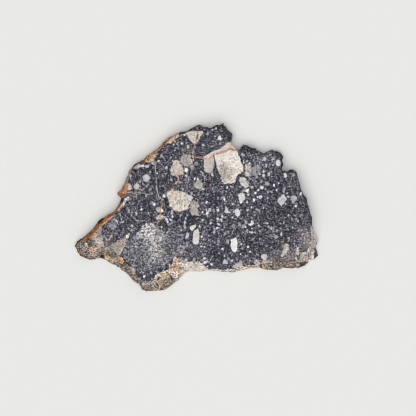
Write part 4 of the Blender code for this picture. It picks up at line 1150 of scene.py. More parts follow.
@dataclass
class BrecciaBody:
    """Regolith breccia inside: crushed dark glassy ground full of pale feldspar bits of every size.

    It gives the eye charcoal with a blue cast, dense with grains of every tone, salted with grey and
    white flecks that grow fewer as they grow larger, and crossed by thin veins.
    """

    cool: str = "#403f4f"
    warm: str = "#47454b"
    warm_tones: Span = (0.4, 2.0)
    sway: Cloud = Cloud(0.5, 2.0)
    sway_reach: float = 0.22
    cloud: Cloud = Cloud(3.6, 5.0)
    cloud_tones: Span = (0.68, 1.26)
    relief: Cloud = Cloud(0.22, 3.0)
    edge: Cloud = Cloud(0.42, 4.0)
    edge_reach: float = 0.16
    grains: tuple[Grains, ...] = (
        Grains(0.17, 0.16, 5.4, 3.6),
        Grains(0.26, 0.55, 1.70, 1.5),
        Grains(1.0, 0.87, 1.16, 1.3),
    )
    grain_tones: Span = (0.12, 2.4)
    grain_grit: Span = (-1.4, -0.3)
    crumb_size: float = 0.27
    crumb_odds: Span = (0.3, 0.75)
    crumb_grit: Span = (0.0, 1.9)
    least_grit: float = -0.85
    fragment_fade: float = 0.2
    fragment_grit: float = 0.9
    fragment_flecks: float = -0.6
    flecks: tuple[Flecks, ...] = (
        Flecks(0.34, 0.07, 0.66, "#787880", "#d3d3da", 0.9),
        Flecks(0.52, 0.052, 0.45, "#7c7c84", "#cfcfd6", 0.85),
        Flecks(0.80, 0.035, 0.39, "#73737b", "#bcbdc6", 0.75),
        Flecks(1.25, 0.025, 0.34, "#6c6c75", "#a2a2ac", 0.6),
        Flecks(2.4, 0.06, 0.30, "#5f5e69", "#797883", 0.55),
    )
    crowding: float = 0.8
    fleck_onset: float = 0.05
    fleck_reach: Span = (0.45, 0.7)
    fleck_edge: Span = (-0.08, 0.12)
    fleck_rarity: float = 1.6
    clast_fade: float = 0.09
    clast_swell: float = 0.05
    clast_tear: Span = (0.5, 1.4)
    clast_grit: Span = (1.02, 0.15)
    grime: str = "#b8ada5"
    grime_cloud: Cloud = Cloud(0.8, 5.0)
    grime_span: Span = (0.3, 0.65)
    speck: str = "#6a5c52"
    speck_size: float = 0.31
    speck_crowding: float = 0.75
    speck_odds: Span = (0.97, 1.03)
    speck_edge: Span = (0.6, 0.3)
    speck_cover: float = 0.72
    vein_grit: float = 0.3
    vein_cloud: Cloud = Cloud(0.45, 3.0)
    vein_reach: Span = (-0.14, 0.13)
    vein_edge: Span = (-0.1, 0.08)
    vein_cover: float = 0.85
    chip_fade: float = 0.09
    group: bpy.types.NodeTree = field(init=False)

    def __post_init__(self) -> None:
        """Build the node group that both of the stone's materials share.

        Its outputs are the stone's colour, its grit, a fine relief, and the cover and colour of the
        chips of crust.
        """
        self.group = bpy.data.node_groups.new("Regolith breccia body", "ShaderNodeTree")
        self._add = partial(add_node, self.group)
        self._place: Socket = self._add(Kind.PLACE)
        self._bent: Socket = self._sway()
        self._tone: Socket = self._grain_tones()
        self._grit: Socket = self._centre_grit()
        self._fragment: Socket = self._cover("fragment", self.fragment_fade)
        colour = self._veins(self._clasts(self._salt(self._ground())))
        results = (
            ("Colour", "NodeSocketColor", colour),
            ("Grit", "NodeSocketFloat", self._grit),
            ("Relief", "NodeSocketFloat", self._add(Kind.NOISE, *self.relief.over(self._place))),
            ("Chip cover", "NodeSocketFloat", self._cover("chip", self.chip_fade)),
            ("Chip colour", "NodeSocketColor", self._chips()),
        )
        for name, form, _ in results:
            self.group.interface.new_socket(name, in_out="OUTPUT", socket_type=form)
        ends = self.group.nodes.new("NodeGroupOutput")
        for name, _, source in results:
            self.group.links.new(source, ends.inputs[name])

    def _number(self, name: str) -> Socket:
        """Read a number that is stored in the mesh."""
        return self._add(Kind.NUMBER, attribute_name=name)

    def _tint(self, name: str) -> Socket:
        """Read a colour that is stored in the mesh."""
        return self._add(Kind.COLOUR, attribute_name=name)

    def _sway(self) -> Socket:
        """Sway the point on the stone, so that the straight walls between grains turn ragged.

        Returns:
            The swayed point.
        """
        sway = self._add(Kind.SWAY, *self.sway.over(self._place))
        centred = self._add(Kind.AWAY, sway, (0.5, 0.5, 0.5))
        shift = self._add(Kind.SCALE, centred, self.sway_reach * MM)
        return self._add(Kind.SHIFT, self._place, shift)

    def _cells(self, size: float) -> tuple[Socket, list[Socket]]:
        """Split the stone into cells.

        Args:
            size: the usual distance between two cells, mm.

        Returns:
            The distance to the nearest cell's middle, and three random numbers of that cell's own.
        """
        distance = self._add(Kind.CELLS, self._bent, per_mm(size))
        dice = self._add(Kind.DICE, distance.node.outputs["Color"])
        return distance, list(dice.node.outputs)

    def _grain_tones(self) -> Socket:
        """Multiply out the tones of all sizes of grain.

        Returns:
            The tone, about 1 on average.
        """
        tone: Socket | float = 1.0
        for grains in self.grains:
            rare = self._add(Kind.POWER, self._cells(grains.size)[1][0], grains.rarity)
            own = self._add(Kind.RANGE, rare, 0.0, 1.0, grains.dark, grains.pale)
            tone = self._add(Kind.PRODUCT, own, tone)
        return tone

    def _centre_grit(self) -> Socket:
        """Centre the grains and crumbs on 0, so that each part can show as much of them as it has.

        Returns:
            The grit, below 0 in dark grains and above it in pale ones.
        """
        even = self._add(Kind.RANGE, self._tone, *self.grain_tones, *self.grain_grit)
        dice = self._cells(self.crumb_size)[1]
        crumbs = self._add(Kind.EDGE, dice[0], *self.crumb_odds, *self.crumb_grit)
        both = self._add(Kind.SUM, crumbs, even)
        return self._add(Kind.LARGER, both, self.least_grit)

    def _cover(
        self, layer: str, fade: float, looseness: Socket | float = 1.0, swell: float = 0.0
    ) -> Socket:
        """Turn a stored depth into a cover with a ragged edge.

        Args:
            layer: the name of the layer whose depth is read.
            fade: over how many mm to either side the edge fades.
            looseness: how much more ragged the edge is than usual.
            swell: by how many mm the edge is moved outwards.

        Returns:
            The cover, 0 outside the layer's features and 1 inside them.
        """
        edge = self._add(Kind.NOISE, *self.edge.over(self._place))
        torn = self._add(Kind.OPEN_RANGE, edge, *NOISE_SPAN, -self.edge_reach, self.edge_reach)
        moved = self._add(Kind.PRODUCT_SUM, torn, looseness, self._number(f"{layer}_depth"))
        return self._add(Kind.EDGE, moved, -fade - swell, fade - swell)

    def _ground(self) -> Socket:
        """Colour the crushed ground and the fragments of older breccia in it.

        Returns:
            The ground's colour.
        """
        cloud = self._add(Kind.NOISE, *self.cloud.over(self._place))
        clouded = self._add(Kind.RANGE, cloud, *NOISE_SPAN, *self.cloud_tones)
        zoned = self._add(Kind.PRODUCT_SUM, self._number("paleness"), clouded, clouded)
        lit = self._add(Kind.PRODUCT, zoned, self._tone)
        turned = self._add(Kind.RANGE, lit, *self.warm_tones)
        base = self._add(Kind.MIX, turned, linear_colour(self.cool), linear_colour(self.warm))
        coarse = self._add(Kind.SCALE, base, lit)
        calm = self._add(Kind.PRODUCT_SUM, self._grit, self.fragment_grit, 1.0)
        fine = self._add(Kind.SCALE, self._tint("fragment_tint"), calm)
        return self._add(Kind.MIX, self._fragment, coarse, fine)

    def _salt(self, colour: Socket) -> Socket:
        """Salt the ground with its small pale fragments, one size after another.

        Args:
            colour: what lies under them.

        Returns:
            The colour with the fragments in it.
        """
        low_reach, more_reach = self.fleck_reach
        crowd = self._number("flecks")
        crowd = self._add(Kind.PRODUCT_SUM, self._fragment, self.fragment_flecks, crowd)
        for flecks in self.flecks:
            distance, dice = self._cells(flecks.size)
            odds = self._add(Kind.PRODUCT_SUM, crowd, flecks.share * self.crowding, dice[0])
            absent = 1.0 - flecks.share
            present = self._add(Kind.EDGE, odds, absent, absent + self.fleck_onset)
            least, more = flecks.reach * low_reach, flecks.reach * more_reach
            rim = self._add(Kind.PRODUCT_SUM, dice[2], more, least)
            deep = self._add(Kind.DIFFERENCE, rim, distance)
            filled = self._add(Kind.EDGE, deep, *self.fleck_edge, 0.0, flecks.strength)
            shown = self._add(Kind.PRODUCT, present, filled)
            steep = self._add(Kind.POWER, dice[1], self.fleck_rarity)
            tint = self._add(Kind.MIX, steep, linear_colour(flecks.low), linear_colour(flecks.high))
            colour = self._add(Kind.MIX, shown, colour, tint)
        return colour

    def _clasts(self, colour: Socket) -> Socket:
        """Lay in the pale feldspar clasts, with the dark grains and dusty areas inside them.

        Args:
            colour: what lies under them.

        Returns:
            The colour with the clasts in it.
        """
        dirt = self._add(Kind.SHARE_SUM, self._number("clast_grain"), self._number("dirt"))
        clean_tear, dirty_tear = self.clast_tear
        loose = self._add(Kind.PRODUCT_SUM, dirt, dirty_tear, clean_tear)
        cover = self._cover("clast", self.clast_fade, loose, self.clast_swell)
        mottle = self._add(Kind.NOISE, *self.grime_cloud.over(self._place))
        mottled = self._add(Kind.RANGE, mottle, *self.grime_span)
        dusty = self._add(Kind.PRODUCT, mottled, dirt)
        dulled = self._add(Kind.DULL, dusty, self._tint("clast_tint"), linear_colour(self.grime))
        plain, grainy = self.clast_grit
        sparkle = self._add(Kind.PRODUCT_SUM, self._grit, grainy, plain)
        grained = self._add(Kind.SCALE, dulled, sparkle)
        distance, dice = self._cells(self.speck_size)
        odds = self._add(Kind.PRODUCT_SUM, dirt, self.speck_crowding, dice[0])
        speck = self._add(Kind.EDGE, odds, *self.speck_odds)
        near = self._add(Kind.EDGE, distance, *self.speck_edge, 0.0, self.speck_cover)
        specks = self._add(Kind.PRODUCT, speck, near)
        specked = self._add(Kind.MIX, specks, grained, linear_colour(self.speck))
        return self._add(Kind.MIX, cover, colour, specked)

    def _veins(self, colour: Socket) -> Socket:
        """Draw the filled cracks over everything, broken here and there along their length.

        Args:
            colour: what lies under them.

        Returns:
            The colour with the cracks in it.
        """
        shade = self._add(Kind.PRODUCT_SUM, self._grit, self.vein_grit, 1.0)
        filling = self._add(Kind.SCALE, self._tint("vein_tint"), shade)
        sway = self._add(Kind.NOISE, *self.vein_cloud.over(self._place))
        torn = self._add(Kind.OPEN_RANGE, sway, *NOISE_SPAN, *self.vein_reach)
        both = self._add(Kind.SUM, self._number("vein_depth"), torn)
        cover = self._add(Kind.EDGE, both, *self.vein_edge, 0.0, self.vein_cover)
        return self._add(Kind.MIX, cover, colour, filling)

    def _chips(self) -> Socket:
        """Colour the chips of crust, each granular to its own degree."""
        own = self._add(Kind.PRODUCT_SUM, self._grit, self._number("chip_grain"), 1.0)
        return self._add(Kind.SCALE, self._tint("chip_tint"), own)


@dataclass(frozen=True)
class SawnFinish:
    """Sawn and lapped flat with a fine grit: matt, with hardly any relief, stained where water got in."""

    roughness: float = 0.78
    roughness_spread: float = 0.12
    gloss: float = 0.35
    bump: float = 0.35
    relief: float = 0.02
    stain_cloud: Cloud = Cloud(0.6, 5.0)
    stain_span: Span = (0.35, 0.65)
    stain_share: Span = (0.3, 1.4)
    stain_tone: float = 0.95
    stain_grit: float = 0.5
    # The colour of the painted shade in pits and in the sunk seams at the face's edge
    painted_shade: str = "#17161a"

    def material(self, body: bpy.types.NodeTree) -> bpy.types.Material:
        """Build the material of the two flat faces.

        Args:
            body: the node group of the stone's inside.

        Returns:
            The material.
        """
        material, shader = start_material(
            "Regolith breccia, sawn and lapped", {"Specular IOR Level": self.gloss}
        )
        tree = material.node_tree
        add = partial(add_node, tree)
        stone = add(Kind.GROUP, node_tree=body).node.outputs
        patchy = add(Kind.NOISE, *self.stain_cloud.over(add(Kind.PLACE)))
        uneven = add(Kind.RANGE, patchy, *self.stain_span, *self.stain_share)
        soaked = add(Kind.SHARE_PRODUCT, add(Kind.NUMBER, attribute_name="stain"), uneven)
        grained = add(Kind.PRODUCT_SUM, stone["Grit"], self.stain_grit, self.stain_tone)
        stain = add(Kind.SCALE, add(Kind.COLOUR, attribute_name="stain_tint"), grained)
        stained = add(Kind.MIX, soaked, stone["Colour"], stain)
        # Painted shade: the pits and the sunk seams at the edge are darkened nearly to black
        painted_hollow_shade = add(Kind.NUMBER, attribute_name="painted_hollow_shade")
        shade_painted = add(Kind.MIX, painted_hollow_shade, stained, linear_colour(self.painted_shade))
        chipped = add(Kind.MIX, stone["Chip cover"], shade_painted, stone["Chip colour"])
        tree.links.new(chipped, shader["Base Color"])
        matt, smooth = self.roughness + self.roughness_spread, self.roughness - self.roughness_spread
        rough = add(Kind.RANGE, stone["Relief"], *NOISE_SPAN, smooth, matt)
        tree.links.new(rough, shader["Roughness"])
        bump = add(Kind.BUMP, self.bump, self.relief * MM, stone["Relief"])
        tree.links.new(bump, shader["Normal"])
        return material


@dataclass(frozen=True)
class RimFinish:
    """The rim: broken stone along the top and the right, and elsewhere the skin that a desert gave it.

    The skin is dull tan to orange-brown and granular like stale crust; its sunk seams are darkened nearly
    to black with painted shade.
    """

    roughness: float = 0.9
    gloss: float = 0.3
    bump: float = 0.7
    relief: float = 0.12
    cloud: Cloud = Cloud(1.5, 4.0)
    cloud_tones: Span = (0.82, 1.2)
    frayed: Cloud = Cloud(0.5, 4.0)
    frayed_reach: float = 0.3
    skin_edge: Span = (0.3, 0.6)
    # The colour of the painted shade in the sunk seams and pits
    painted_hollow_shade: str = "#33261f"

    def material(self, body: bpy.types.NodeTree) -> bpy.types.Material:
        """Build the material of the rim.

        Args:
            body: the node group of the stone's inside.

        Returns:
            The material.
        """
        material, shader = start_material(
            "Regolith breccia, broken and weathered",
            {"Roughness": self.roughness, "Specular IOR Level": self.gloss},
        )
        tree = material.node_tree
        add = partial(add_node, tree)
        stone = add(Kind.GROUP, node_tree=body).node.outputs
        place = add(Kind.PLACE)
        clouded = add(Kind.RANGE, add(Kind.NOISE, *self.cloud.over(place)), *NOISE_SPAN, *self.cloud_tones)
        grit = add(Kind.NUMBER, attribute_name="rind_grit")
        grained = add(Kind.PRODUCT_SUM, stone["Grit"], grit, 1.0)
        shade = add(Kind.PRODUCT, clouded, grained)
        skin = add(Kind.SCALE, add(Kind.COLOUR, attribute_name="rind_tint"), shade)
        frayed = add(Kind.NOISE, *self.frayed.over(place))
        torn = add(Kind.RANGE, frayed, *NOISE_SPAN, -self.frayed_reach, self.frayed_reach)
        both = add(Kind.SUM, add(Kind.NUMBER, attribute_name="rind"), torn)
        covered = add(Kind.EDGE, both, *self.skin_edge)
        outside = add(Kind.MIX, covered, stone["Colour"], skin)
        chipped = add(Kind.MIX, stone["Chip cover"], outside, stone["Chip colour"])
        # Painted shade: the sunk seams between grains and the pits are darkened towards near black
        painted_hollow_shade = add(Kind.NUMBER, attribute_name="painted_hollow_shade")
        sunk = add(Kind.MIX, painted_hollow_shade, chipped, linear_colour(self.painted_hollow_shade))
        tree.links.new(sunk, shader["Base Color"])
        tree.links.new(add(Kind.BUMP, self.bump, self.relief * MM, frayed), shader["Normal"])
        return material


@dataclass(frozen=True)
class Underside:
    """Clasts scattered over the underside, which the photograph doesn't show."""

    count: int = 110
    size: Span = (0.45, 4.5)
    rarity: float = 1.7
    along: Span = (-25.0, 26.0)
    across: Span = (-17.0, 17.0)
    stretch: Span = (0.8, 1.3)
    turn: Span = (-90.0, 90.0)
    grain: Span = (0.0, 0.5)
    tints: tuple[Tint, ...] = (
        Tint.SNOW, Tint.CREAM, Tint.IVORY, Tint.PEARL, Tint.PEARL, Tint.ASH, Tint.DOVE,
    )

    def clasts(self, chance: random.Random) -> list[Clast]:
        """Break out the clasts, few large and many small, as on the top.

        Args:
            chance: the seeded source of their places and sizes.

        Returns:
            The clasts.
        """
        clasts = []
        least, most = self.size
        for _ in range(self.count):
            size = min(least * chance.paretovariate(self.rarity), most)
            fleck = Fleck(
                chance.uniform(*self.along),
                chance.uniform(*self.across),
                size * chance.uniform(*self.stretch),
                size * chance.uniform(*self.stretch),
                chance.uniform(*self.turn),
            )
            clasts.append(fleck.clast(chance.choice(self.tints), chance.uniform(*self.grain), chance))
        return clasts


@dataclass
class StoneSlice:
    """The whole stone: two sawn faces and the rim between them."""

    thickness: float = 3.2
    rim_cuts: int = 2
    rim_smoothing: float = 0.5
    top_spacing: float = 0.165
    base_spacing: float = 0.34
    face_gap: float = 0.55
    sharp_angle: float = 50.0
    lump_size: float = 1.1
    lump_height: float = 0.13
    grain_size: float = 0.72
    grain_height: float = 0.22
    grain_lift: float = 0.3
    seam_width: float = 0.28
    grit_size: float = 0.3
    grit_height: float = 0.08
    edge_relief: float = 0.6
    # How far a point sinks before painted shade darkens it, and how dark that painted shade is in the rim's
    # seams and in the pits
    hollow_start: float = 0.3
    hollow_shade: float = 0.8
    pit_shade: float = 1.6
    margin: float = 1.2
    least_reach: float = 0.05
    clast_depth: float = 1.3
    fragment_depth: float = 3.0
    chip_depth: float = 8.0
    vein_slant: float = 0.12
    fleck_grain: float = 0.12
    rind_slant: float = 0.45
    rind_sway: tuple[float, float, float] = (0.9, 0.7, 0.8)
    rind_blend: float = 0.02
    level: float = 0.999
    seed: int = 11

    def build(self, cad: bpy.types.Object) -> bpy.types.Object:
        """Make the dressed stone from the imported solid.

        Args:
            cad: the solid's object.

        Returns:
            The finished piece.
        """
        shape = bmesh.new()
        shape.from_mesh(cad.data)
        bmesh.ops.remove_doubles(shape, verts=shape.verts[:], dist=HAIR * MM)
        bmesh.ops.recalc_face_normals(shape, faces=shape.faces[:])
        caps = [face for face in shape.faces if abs(face.normal.z) > self.level and self._is_flat(face)]
        bmesh.ops.delete(shape, geom=caps, context="FACES_ONLY")
        loose = [edge for edge in shape.edges if not edge.link_faces]
        bmesh.ops.delete(shape, geom=loose, context="EDGES")
        self._refine_rim(shape)
        for face in shape.faces:
            face.material_index = 1
            face.smooth = True
        self._close_face(shape, self.thickness * MM, self.top_spacing)
        self._close_face(shape, 0.0, self.base_spacing)
        bmesh.ops.recalc_face_normals(shape, faces=shape.faces[:])
        self._sink_pits(shape)
        mesh = bpy.data.meshes.new(PIECE)
        shape.to_mesh(mesh)
        shape.free()
        piece = bpy.data.objects.new(PIECE, mesh)
        bpy.context.scene.collection.objects.link(piece)
        mesh.set_sharp_from_angle(angle=math.radians(self.sharp_angle))
        self._paint(mesh)
        return piece

    def _is_flat(self, face: bmesh.types.BMFace) -> bool:
        """Tell whether all of a face lies in one of the two sawn planes."""
        heights = [vert.co.z / MM for vert in face.verts]
        return max(heights) < HAIR or min(heights) > self.thickness - HAIR

    def _refine_rim(self, shape: bmesh.types.BMesh) -> None:
        """Divide the rim finely, raise its lumps and grains, sink the seams and store painted shade in
        them.

        Args:
            shape: the open band of the rim.
        """
        bmesh.ops.subdivide_edges(shape, edges=shape.edges[:], cuts=self.rim_cuts, use_grid_fill=True)
        inner = [vert for vert in shape.verts if not vert.is_boundary]
        axes = {"use_axis_x": True, "use_axis_y": True, "use_axis_z": True}
        bmesh.ops.smooth_vert(shape, verts=inner, factor=self.rim_smoothing, **axes)
        shape.normal_update()
        painted_hollow_shade = shape.verts.layers.float.new("painted_hollow_shade")
        moves = []
        for vert in shape.verts:
            place = vert.co / MM
            lump = noise.noise(place / self.lump_size)
            reach = noise.voronoi(place / self.grain_size)[0]
            seam = max(0.0, 1.0 - (reach[1] - reach[0]) / self.seam_width)
            grit = noise.noise(place / self.grit_size)
            rise = lump * self.lump_height - seam * self.grain_height + grit * self.grit_height
            push = vert.normal.copy()
            if vert.is_boundary:
                push.z = 0.0
                rise *= self.edge_relief
            moves.append(push * (rise + self.grain_lift * self.grain_height) * MM)
            # Painted shade: the deeper a point sinks, the darker it is stored
            sunk = -rise / self.grain_height - self.hollow_start
            vert[painted_hollow_shade] = self.hollow_shade * min(1.0, max(0.0, sunk))
        for vert, move in zip(shape.verts, moves):
            vert.co += move
            vert.co.z = min(max(vert.co.z, 0.0), self.thickness * MM)

    def _sink_pits(self, shape: bmesh.types.BMesh) -> None:
        """Sink the small holes and store painted shade in them.

        Args:
            shape: the closed stone.
        """
        shape.normal_update()
        painted_hollow_shade = shape.verts.layers.float["painted_hollow_shade"]
        for pit in PITS:
            middle = Vector((pit.x, pit.y, pit.z))
            for vert in shape.verts:
                away = (vert.co / MM - middle).length / pit.radius
                if away < 1.0:
                    fall = (1.0 - away * away) ** 2
                    vert.co -= vert.normal * pit.depth * fall * MM
                    # Painted shade, darkest at the pit's middle
                    vert[painted_hollow_shade] = max(vert[painted_hollow_shade], min(1.0, self.pit_shade * fall))

    def _close_face(self, shape: bmesh.types.BMesh, height: float, spacing: float) -> None:
        """Close one end of the rim with a flat face of even small triangles.

        Args:
            shape: the stone so far.
            height: the height of the face, in metres.
            spacing: the distance between the face's points.
        """
        ring = self._ring(shape, height)
        outline = np.array([vert.co[:2] for vert in ring]) / MM
        low, high = outline.min(axis=0), outline.max(axis=0)
        rows = []
        row_step = spacing * math.sqrt(3.0) / 2.0
        for number, y in enumerate(np.arange(low[1], high[1], row_step)):
            across = np.arange(low[0] + (number % 2) * spacing / 2.0, high[0], spacing)
            rows.append(np.column_stack([across, np.full(len(across), y)]))
        grid = np.concatenate(rows)
        grid = grid[depth_inside(grid, outline) > spacing * self.face_gap]
        points = [Vector(point) for point in (*outline, *grid)]
        count = len(ring)
        border = [(place, (place + 1) % count) for place in range(count)]
        found = geometry.delaunay_2d_cdt(points, border, [], INSIDE_ONLY, MERGE_WITHIN)
        verts: list[bmesh.types.BMVert] = []
        for point, sources in zip(found[0], found[3]):
            first = min(sources) if sources else count
            if first < count:
                verts.append(ring[first])
            else:
                verts.append(shape.verts.new((point.x * MM, point.y * MM, height)))
        for corners in found[2]:
            face = shape.faces.new([verts[corner] for corner in corners])
            face.material_index = 0
            face.smooth = True

    @staticmethod
    def _ring(shape: bmesh.types.BMesh, height: float) -> list[bmesh.types.BMVert]:
        """Walk round the open edge of the rim at one height.

        Args:
            shape: the open band of the rim.
            height: the height of the edge, in metres.

        Returns:
            Its vertices in order.
        """
        ways: dict[bmesh.types.BMVert, list[bmesh.types.BMVert]] = {}
        for edge in shape.edges:
            if edge.is_boundary and all(abs(vert.co.z - height) < HAIR * MM for vert in edge.verts):
                first, second = edge.verts
                ways.setdefault(first, []).append(second)
                ways.setdefault(second, []).append(first)
        start = next(iter(ways))
        ring = [start]
        before, here = start, ways[start][0]
        while here is not start:
            ring.append(here)
            before, here = here, next(vert for vert in ways[here] if vert is not before)
        return ring

    def _paint(self, mesh: bpy.types.Mesh) -> None:
        """Store in the mesh where each point lies among the stone's clasts, veins, stains and zones.

        Args:
            mesh: the finished mesh.
        """
        count = len(mesh.vertices)
        flat = np.empty(count * 3)
        mesh.vertices.foreach_get("co", flat)
        place = flat.reshape(-1, 3) / MM
        below = self.thickness - place[:, 2]
        chance = random.Random(self.seed)
        clasts, fragments, veins, chips = (Layer.empty(count) for _ in range(4))
        flecks = [(tint, Fleck(*row)) for tint, rows in FLECKS.items() for row in rows]
        small = [fleck.clast(tint, self.fleck_grain, chance) for tint, fleck in flecks]
        for layer, depth, members in (
            (clasts, below, (*CLASTS, *small)),
            (clasts, place[:, 2], Underside().clasts(chance)),
            (fragments, below / self.fragment_depth, FRAGMENTS),
            (chips, below / self.chip_depth, CHIPS),
        ):
            for clast in members:
                self._lay_clast(layer, place, depth, clast)
        for layer in (clasts, fragments):
            layer.shade(place, [Patch(*row) for row in SHADES])
        for vein in VEINS:
            line = np.array(vein.line)
            chosen = self._near(place, line)
            plan = place[chosen, :2] + self.vein_slant * below[chosen, None]
            veins.lay(chosen, vein.width / 2.0 - away_from_line(plan, line), vein.tint)
        stored = {
            "clast_depth": clasts.depth,
            "clast_tint": clasts.tint,
            "clast_grain": clasts.grain,
            "fragment_depth": fragments.depth,
            "fragment_tint": fragments.tint,
            "chip_depth": chips.depth,
            "chip_tint": chips.tint,
            "chip_grain": chips.grain,
            "vein_depth": veins.depth,
            "vein_tint": veins.tint,
            **self._zoned(place),
            **self._stained(place),
            **self._weathered(place, below),
        }
        for name, values in stored.items():
            self._store(mesh, name, values)

    def _lay_clast(self, layer: Layer, place: np.ndarray, below: np.ndarray, clast: Clast) -> None:
        """Lay one clast into a layer, rounding it off with depth.

        Args:
            layer: the layer that takes it.
            place: every point of the stone.
            below: how far each point lies from the face on which the clast was drawn.
            clast: the clast.
        """
        outline = np.array(clast.outline)
        chosen = self._near(place, outline)
        size = outline.max(axis=0) - outline.min(axis=0)
        reach = max(float(size.mean()) / 2.0, self.least_reach) * self.clast_depth
        sunk = np.minimum(below[chosen] / reach, 1.0)
        lost = reach * (1.0 - np.sqrt(1.0 - sunk * sunk)) + np.maximum(below[chosen] - reach, 0.0)
        depth = depth_inside(place[chosen, :2], outline) - lost
        layer.lay(chosen, depth, clast.tint, clast.grain)

    def _near(self, place: np.ndarray, outline: np.ndarray) -> np.ndarray:
        """Find the points within the margin of an outline's box.

        Args:
            place: every point of the stone.
            outline: the outline's corners.

        Returns:
            The places of those points in the list.
        """
        low = outline.min(axis=0) - self.margin
        high = outline.max(axis=0) + self.margin
        return np.nonzero(((place[:, :2] > low) & (place[:, :2] < high)).all(axis=1))[0]

    @staticmethod
    def _zoned(place: np.ndarray) -> dict[str, np.ndarray]:
        """Add up the qualities of the zones.

        Args:
            place: every point of the stone.

        Returns:
            The qualities at each point, by name.
        """
        total = {quality: np.zeros(len(place)) for quality in ("paleness", "flecks", "dirt")}
        for zone in (Zone(*row) for row in ZONES):
            fade = bell(place, zone.x, zone.y, zone.radius)
            for quality, values in total.items():
                values += getattr(zone, quality) * fade
        return total

    @staticmethod
    def _stained(place: np.ndarray) -> dict[str, np.ndarray]:
        """Mix the stains of the sawn face into one cover and one colour.

        Args:
            place: every point of the stone.

        Returns:
            The cover and the linear colour at each point, by name.
        """
        cover = np.zeros(len(place))
        total = np.full(len(place), LEAST_SHARE)
        tint = np.zeros((len(place), 4))
        for patch in patches(STAINS):
            fade = bell(place, patch.x, patch.y, patch.radius)
            cover = np.maximum(cover, patch.strength * fade)
            total += fade
            tint += fade[:, None] * patch.tint.linear()
        return {"stain": cover, "stain_tint": tint / total[:, None]}

    def _weathered(self, place: np.ndarray, below: np.ndarray) -> dict[str, np.ndarray]:
        """Share every point of the rim out among the patches of weathering nearest to it.

        Args:
            place: every point of the stone.
            below: how far each point lies below the sawn top.

        Returns:
            The strength, the linear colour and the grit at each point, by name.
        """
        along, across, down = self.rind_sway
        slant = self.rind_slant * below * np.sin(along * place[:, 0] + across * place[:, 1] + down * below)
        total, strength, grit = np.zeros((3, len(place)))
        tint = np.zeros((len(place), 4))
        for patch in patches(RINDS):
            distance = np.hypot(place[:, 0] + slant - patch.x, place[:, 1] - slant - patch.y)
            pull = 1.0 / ((distance / patch.radius) ** 4 + self.rind_blend)
            total += pull
            strength += pull * patch.strength
            grit += pull * patch.grit
            tint += pull[:, None] * patch.tint.linear()
        return {"rind": strength / total, "rind_tint": tint / total[:, None], "rind_grit": grit / total}

    @staticmethod
    def _store(mesh: bpy.types.Mesh, name: str, values: np.ndarray) -> None:
        """Store one number or one colour at every point of the mesh.

        Args:
            mesh: the mesh.
            name: the attribute's name.
            values: a number for each point, or a row of four for a colour.
        """
        form, member = ("FLOAT", "value") if values.ndim == 1 else ("FLOAT_COLOR", "color")
        attribute = mesh.attributes.new(name, form, "POINT")
        attribute.data.foreach_set(member, values.astype(np.float32).ravel())

    def dress(self, piece: bpy.types.Object) -> None:
        """Give the piece its two materials and its place in the frame.

        Args:
            piece: the finished piece.
        """
        body = BrecciaBody().group
        for finish in (SawnFinish(), RimFinish()):
            piece.data.materials.append(finish.material(body))
        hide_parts(NODE)
        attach(piece, "root")


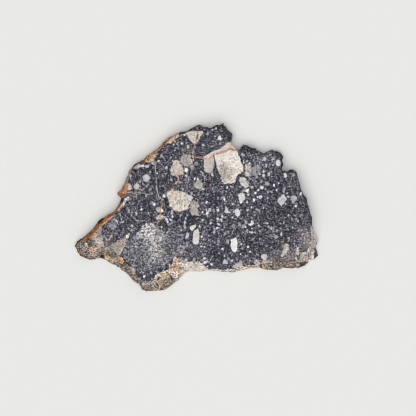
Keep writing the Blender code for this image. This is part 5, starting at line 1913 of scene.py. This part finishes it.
@dataclass
class Studio:
    """White paper under the stone, light from a bright ceiling and a camera straight above."""

    paper_size: float = 4000.0
    paper_drop: float = 0.02
    paper_tint: str = "#e9e9e7"
    paper_roughness: float = 0.95
    paper_gloss: float = 0.1
    room_tint: str = "#ffffff"
    room_light: float = 0.33
    ceiling_light: float = 2.23
    ceiling_spread: float = 72.0
    ceiling_lean: tuple[float, float, float] = (18.0, -5.0, 0.0)
    camera_height: float = 523.2
    lens: float = 200.0
    sensor: float = 36.0
    clip: Span = (10.0, 10000.0)
    aim: Span = (2.7, -0.14)
    filter_width: float = 1.05

    def build(self) -> None:
        """Set out the paper, the light and the camera."""
        self._paper()
        self._light()
        self._camera()

    def _paper(self) -> None:
        """Lay the paper just under the stone."""
        shape = bmesh.new()
        bmesh.ops.create_grid(shape, x_segments=1, y_segments=1, size=self.paper_size / 2.0 * MM)
        bmesh.ops.translate(shape, verts=shape.verts[:], vec=(0.0, 0.0, -self.paper_drop * MM))
        mesh = bpy.data.meshes.new("white_paper")
        shape.to_mesh(mesh)
        shape.free()
        paper = bpy.data.objects.new("white_paper", mesh)
        bpy.context.scene.collection.objects.link(paper)
        constants = {
            "Base Color": linear_colour(self.paper_tint),
            "Roughness": self.paper_roughness,
            "Specular IOR Level": self.paper_gloss,
        }
        mesh.materials.append(start_material("Paper, matt white", constants)[0])

    def _light(self) -> None:
        """Light the stone from a wide ceiling that leans to the near side, in a pale room."""
        scene = bpy.context.scene
        world = bpy.data.worlds.new("pale_room")
        world.use_nodes = True
        room = world.node_tree.nodes["Background"].inputs
        room["Color"].default_value = linear_colour(self.room_tint)
        room["Strength"].default_value = self.room_light
        scene.world = world
        lamp = bpy.data.lights.new("bright_ceiling", "SUN")
        lamp.energy = self.ceiling_light
        lamp.angle = math.radians(self.ceiling_spread)
        ceiling = bpy.data.objects.new("bright_ceiling", lamp)
        ceiling.rotation_euler = [math.radians(lean) for lean in self.ceiling_lean]
        scene.collection.objects.link(ceiling)
        scene.view_settings.view_transform = "Standard"
        scene.view_settings.look = "None"
        scene.cycles.filter_width = self.filter_width

    def _camera(self) -> None:
        """Look straight down on the stone from far off."""
        camera = bpy.data.cameras.new("overhead")
        camera.lens = self.lens
        camera.sensor_width = self.sensor
        camera.clip_start, camera.clip_end = (distance * MM for distance in self.clip)
        holder = bpy.data.objects.new("overhead", camera)
        holder.location = Vector((*self.aim, self.camera_height)) * MM
        bpy.context.scene.collection.objects.link(holder)
        bpy.context.scene.camera = holder


def main() -> None:
    """Build the stone and the studio round it."""
    logging.basicConfig(level=logging.INFO, format="%(message)s")
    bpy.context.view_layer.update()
    stone = StoneSlice()
    piece = stone.build(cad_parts[NODE])
    stone.dress(piece)
    LOG.info("%s: %d triangles", piece.name, len(piece.data.polygons))
    Studio().build()


if __name__ == "__main__":
    main()
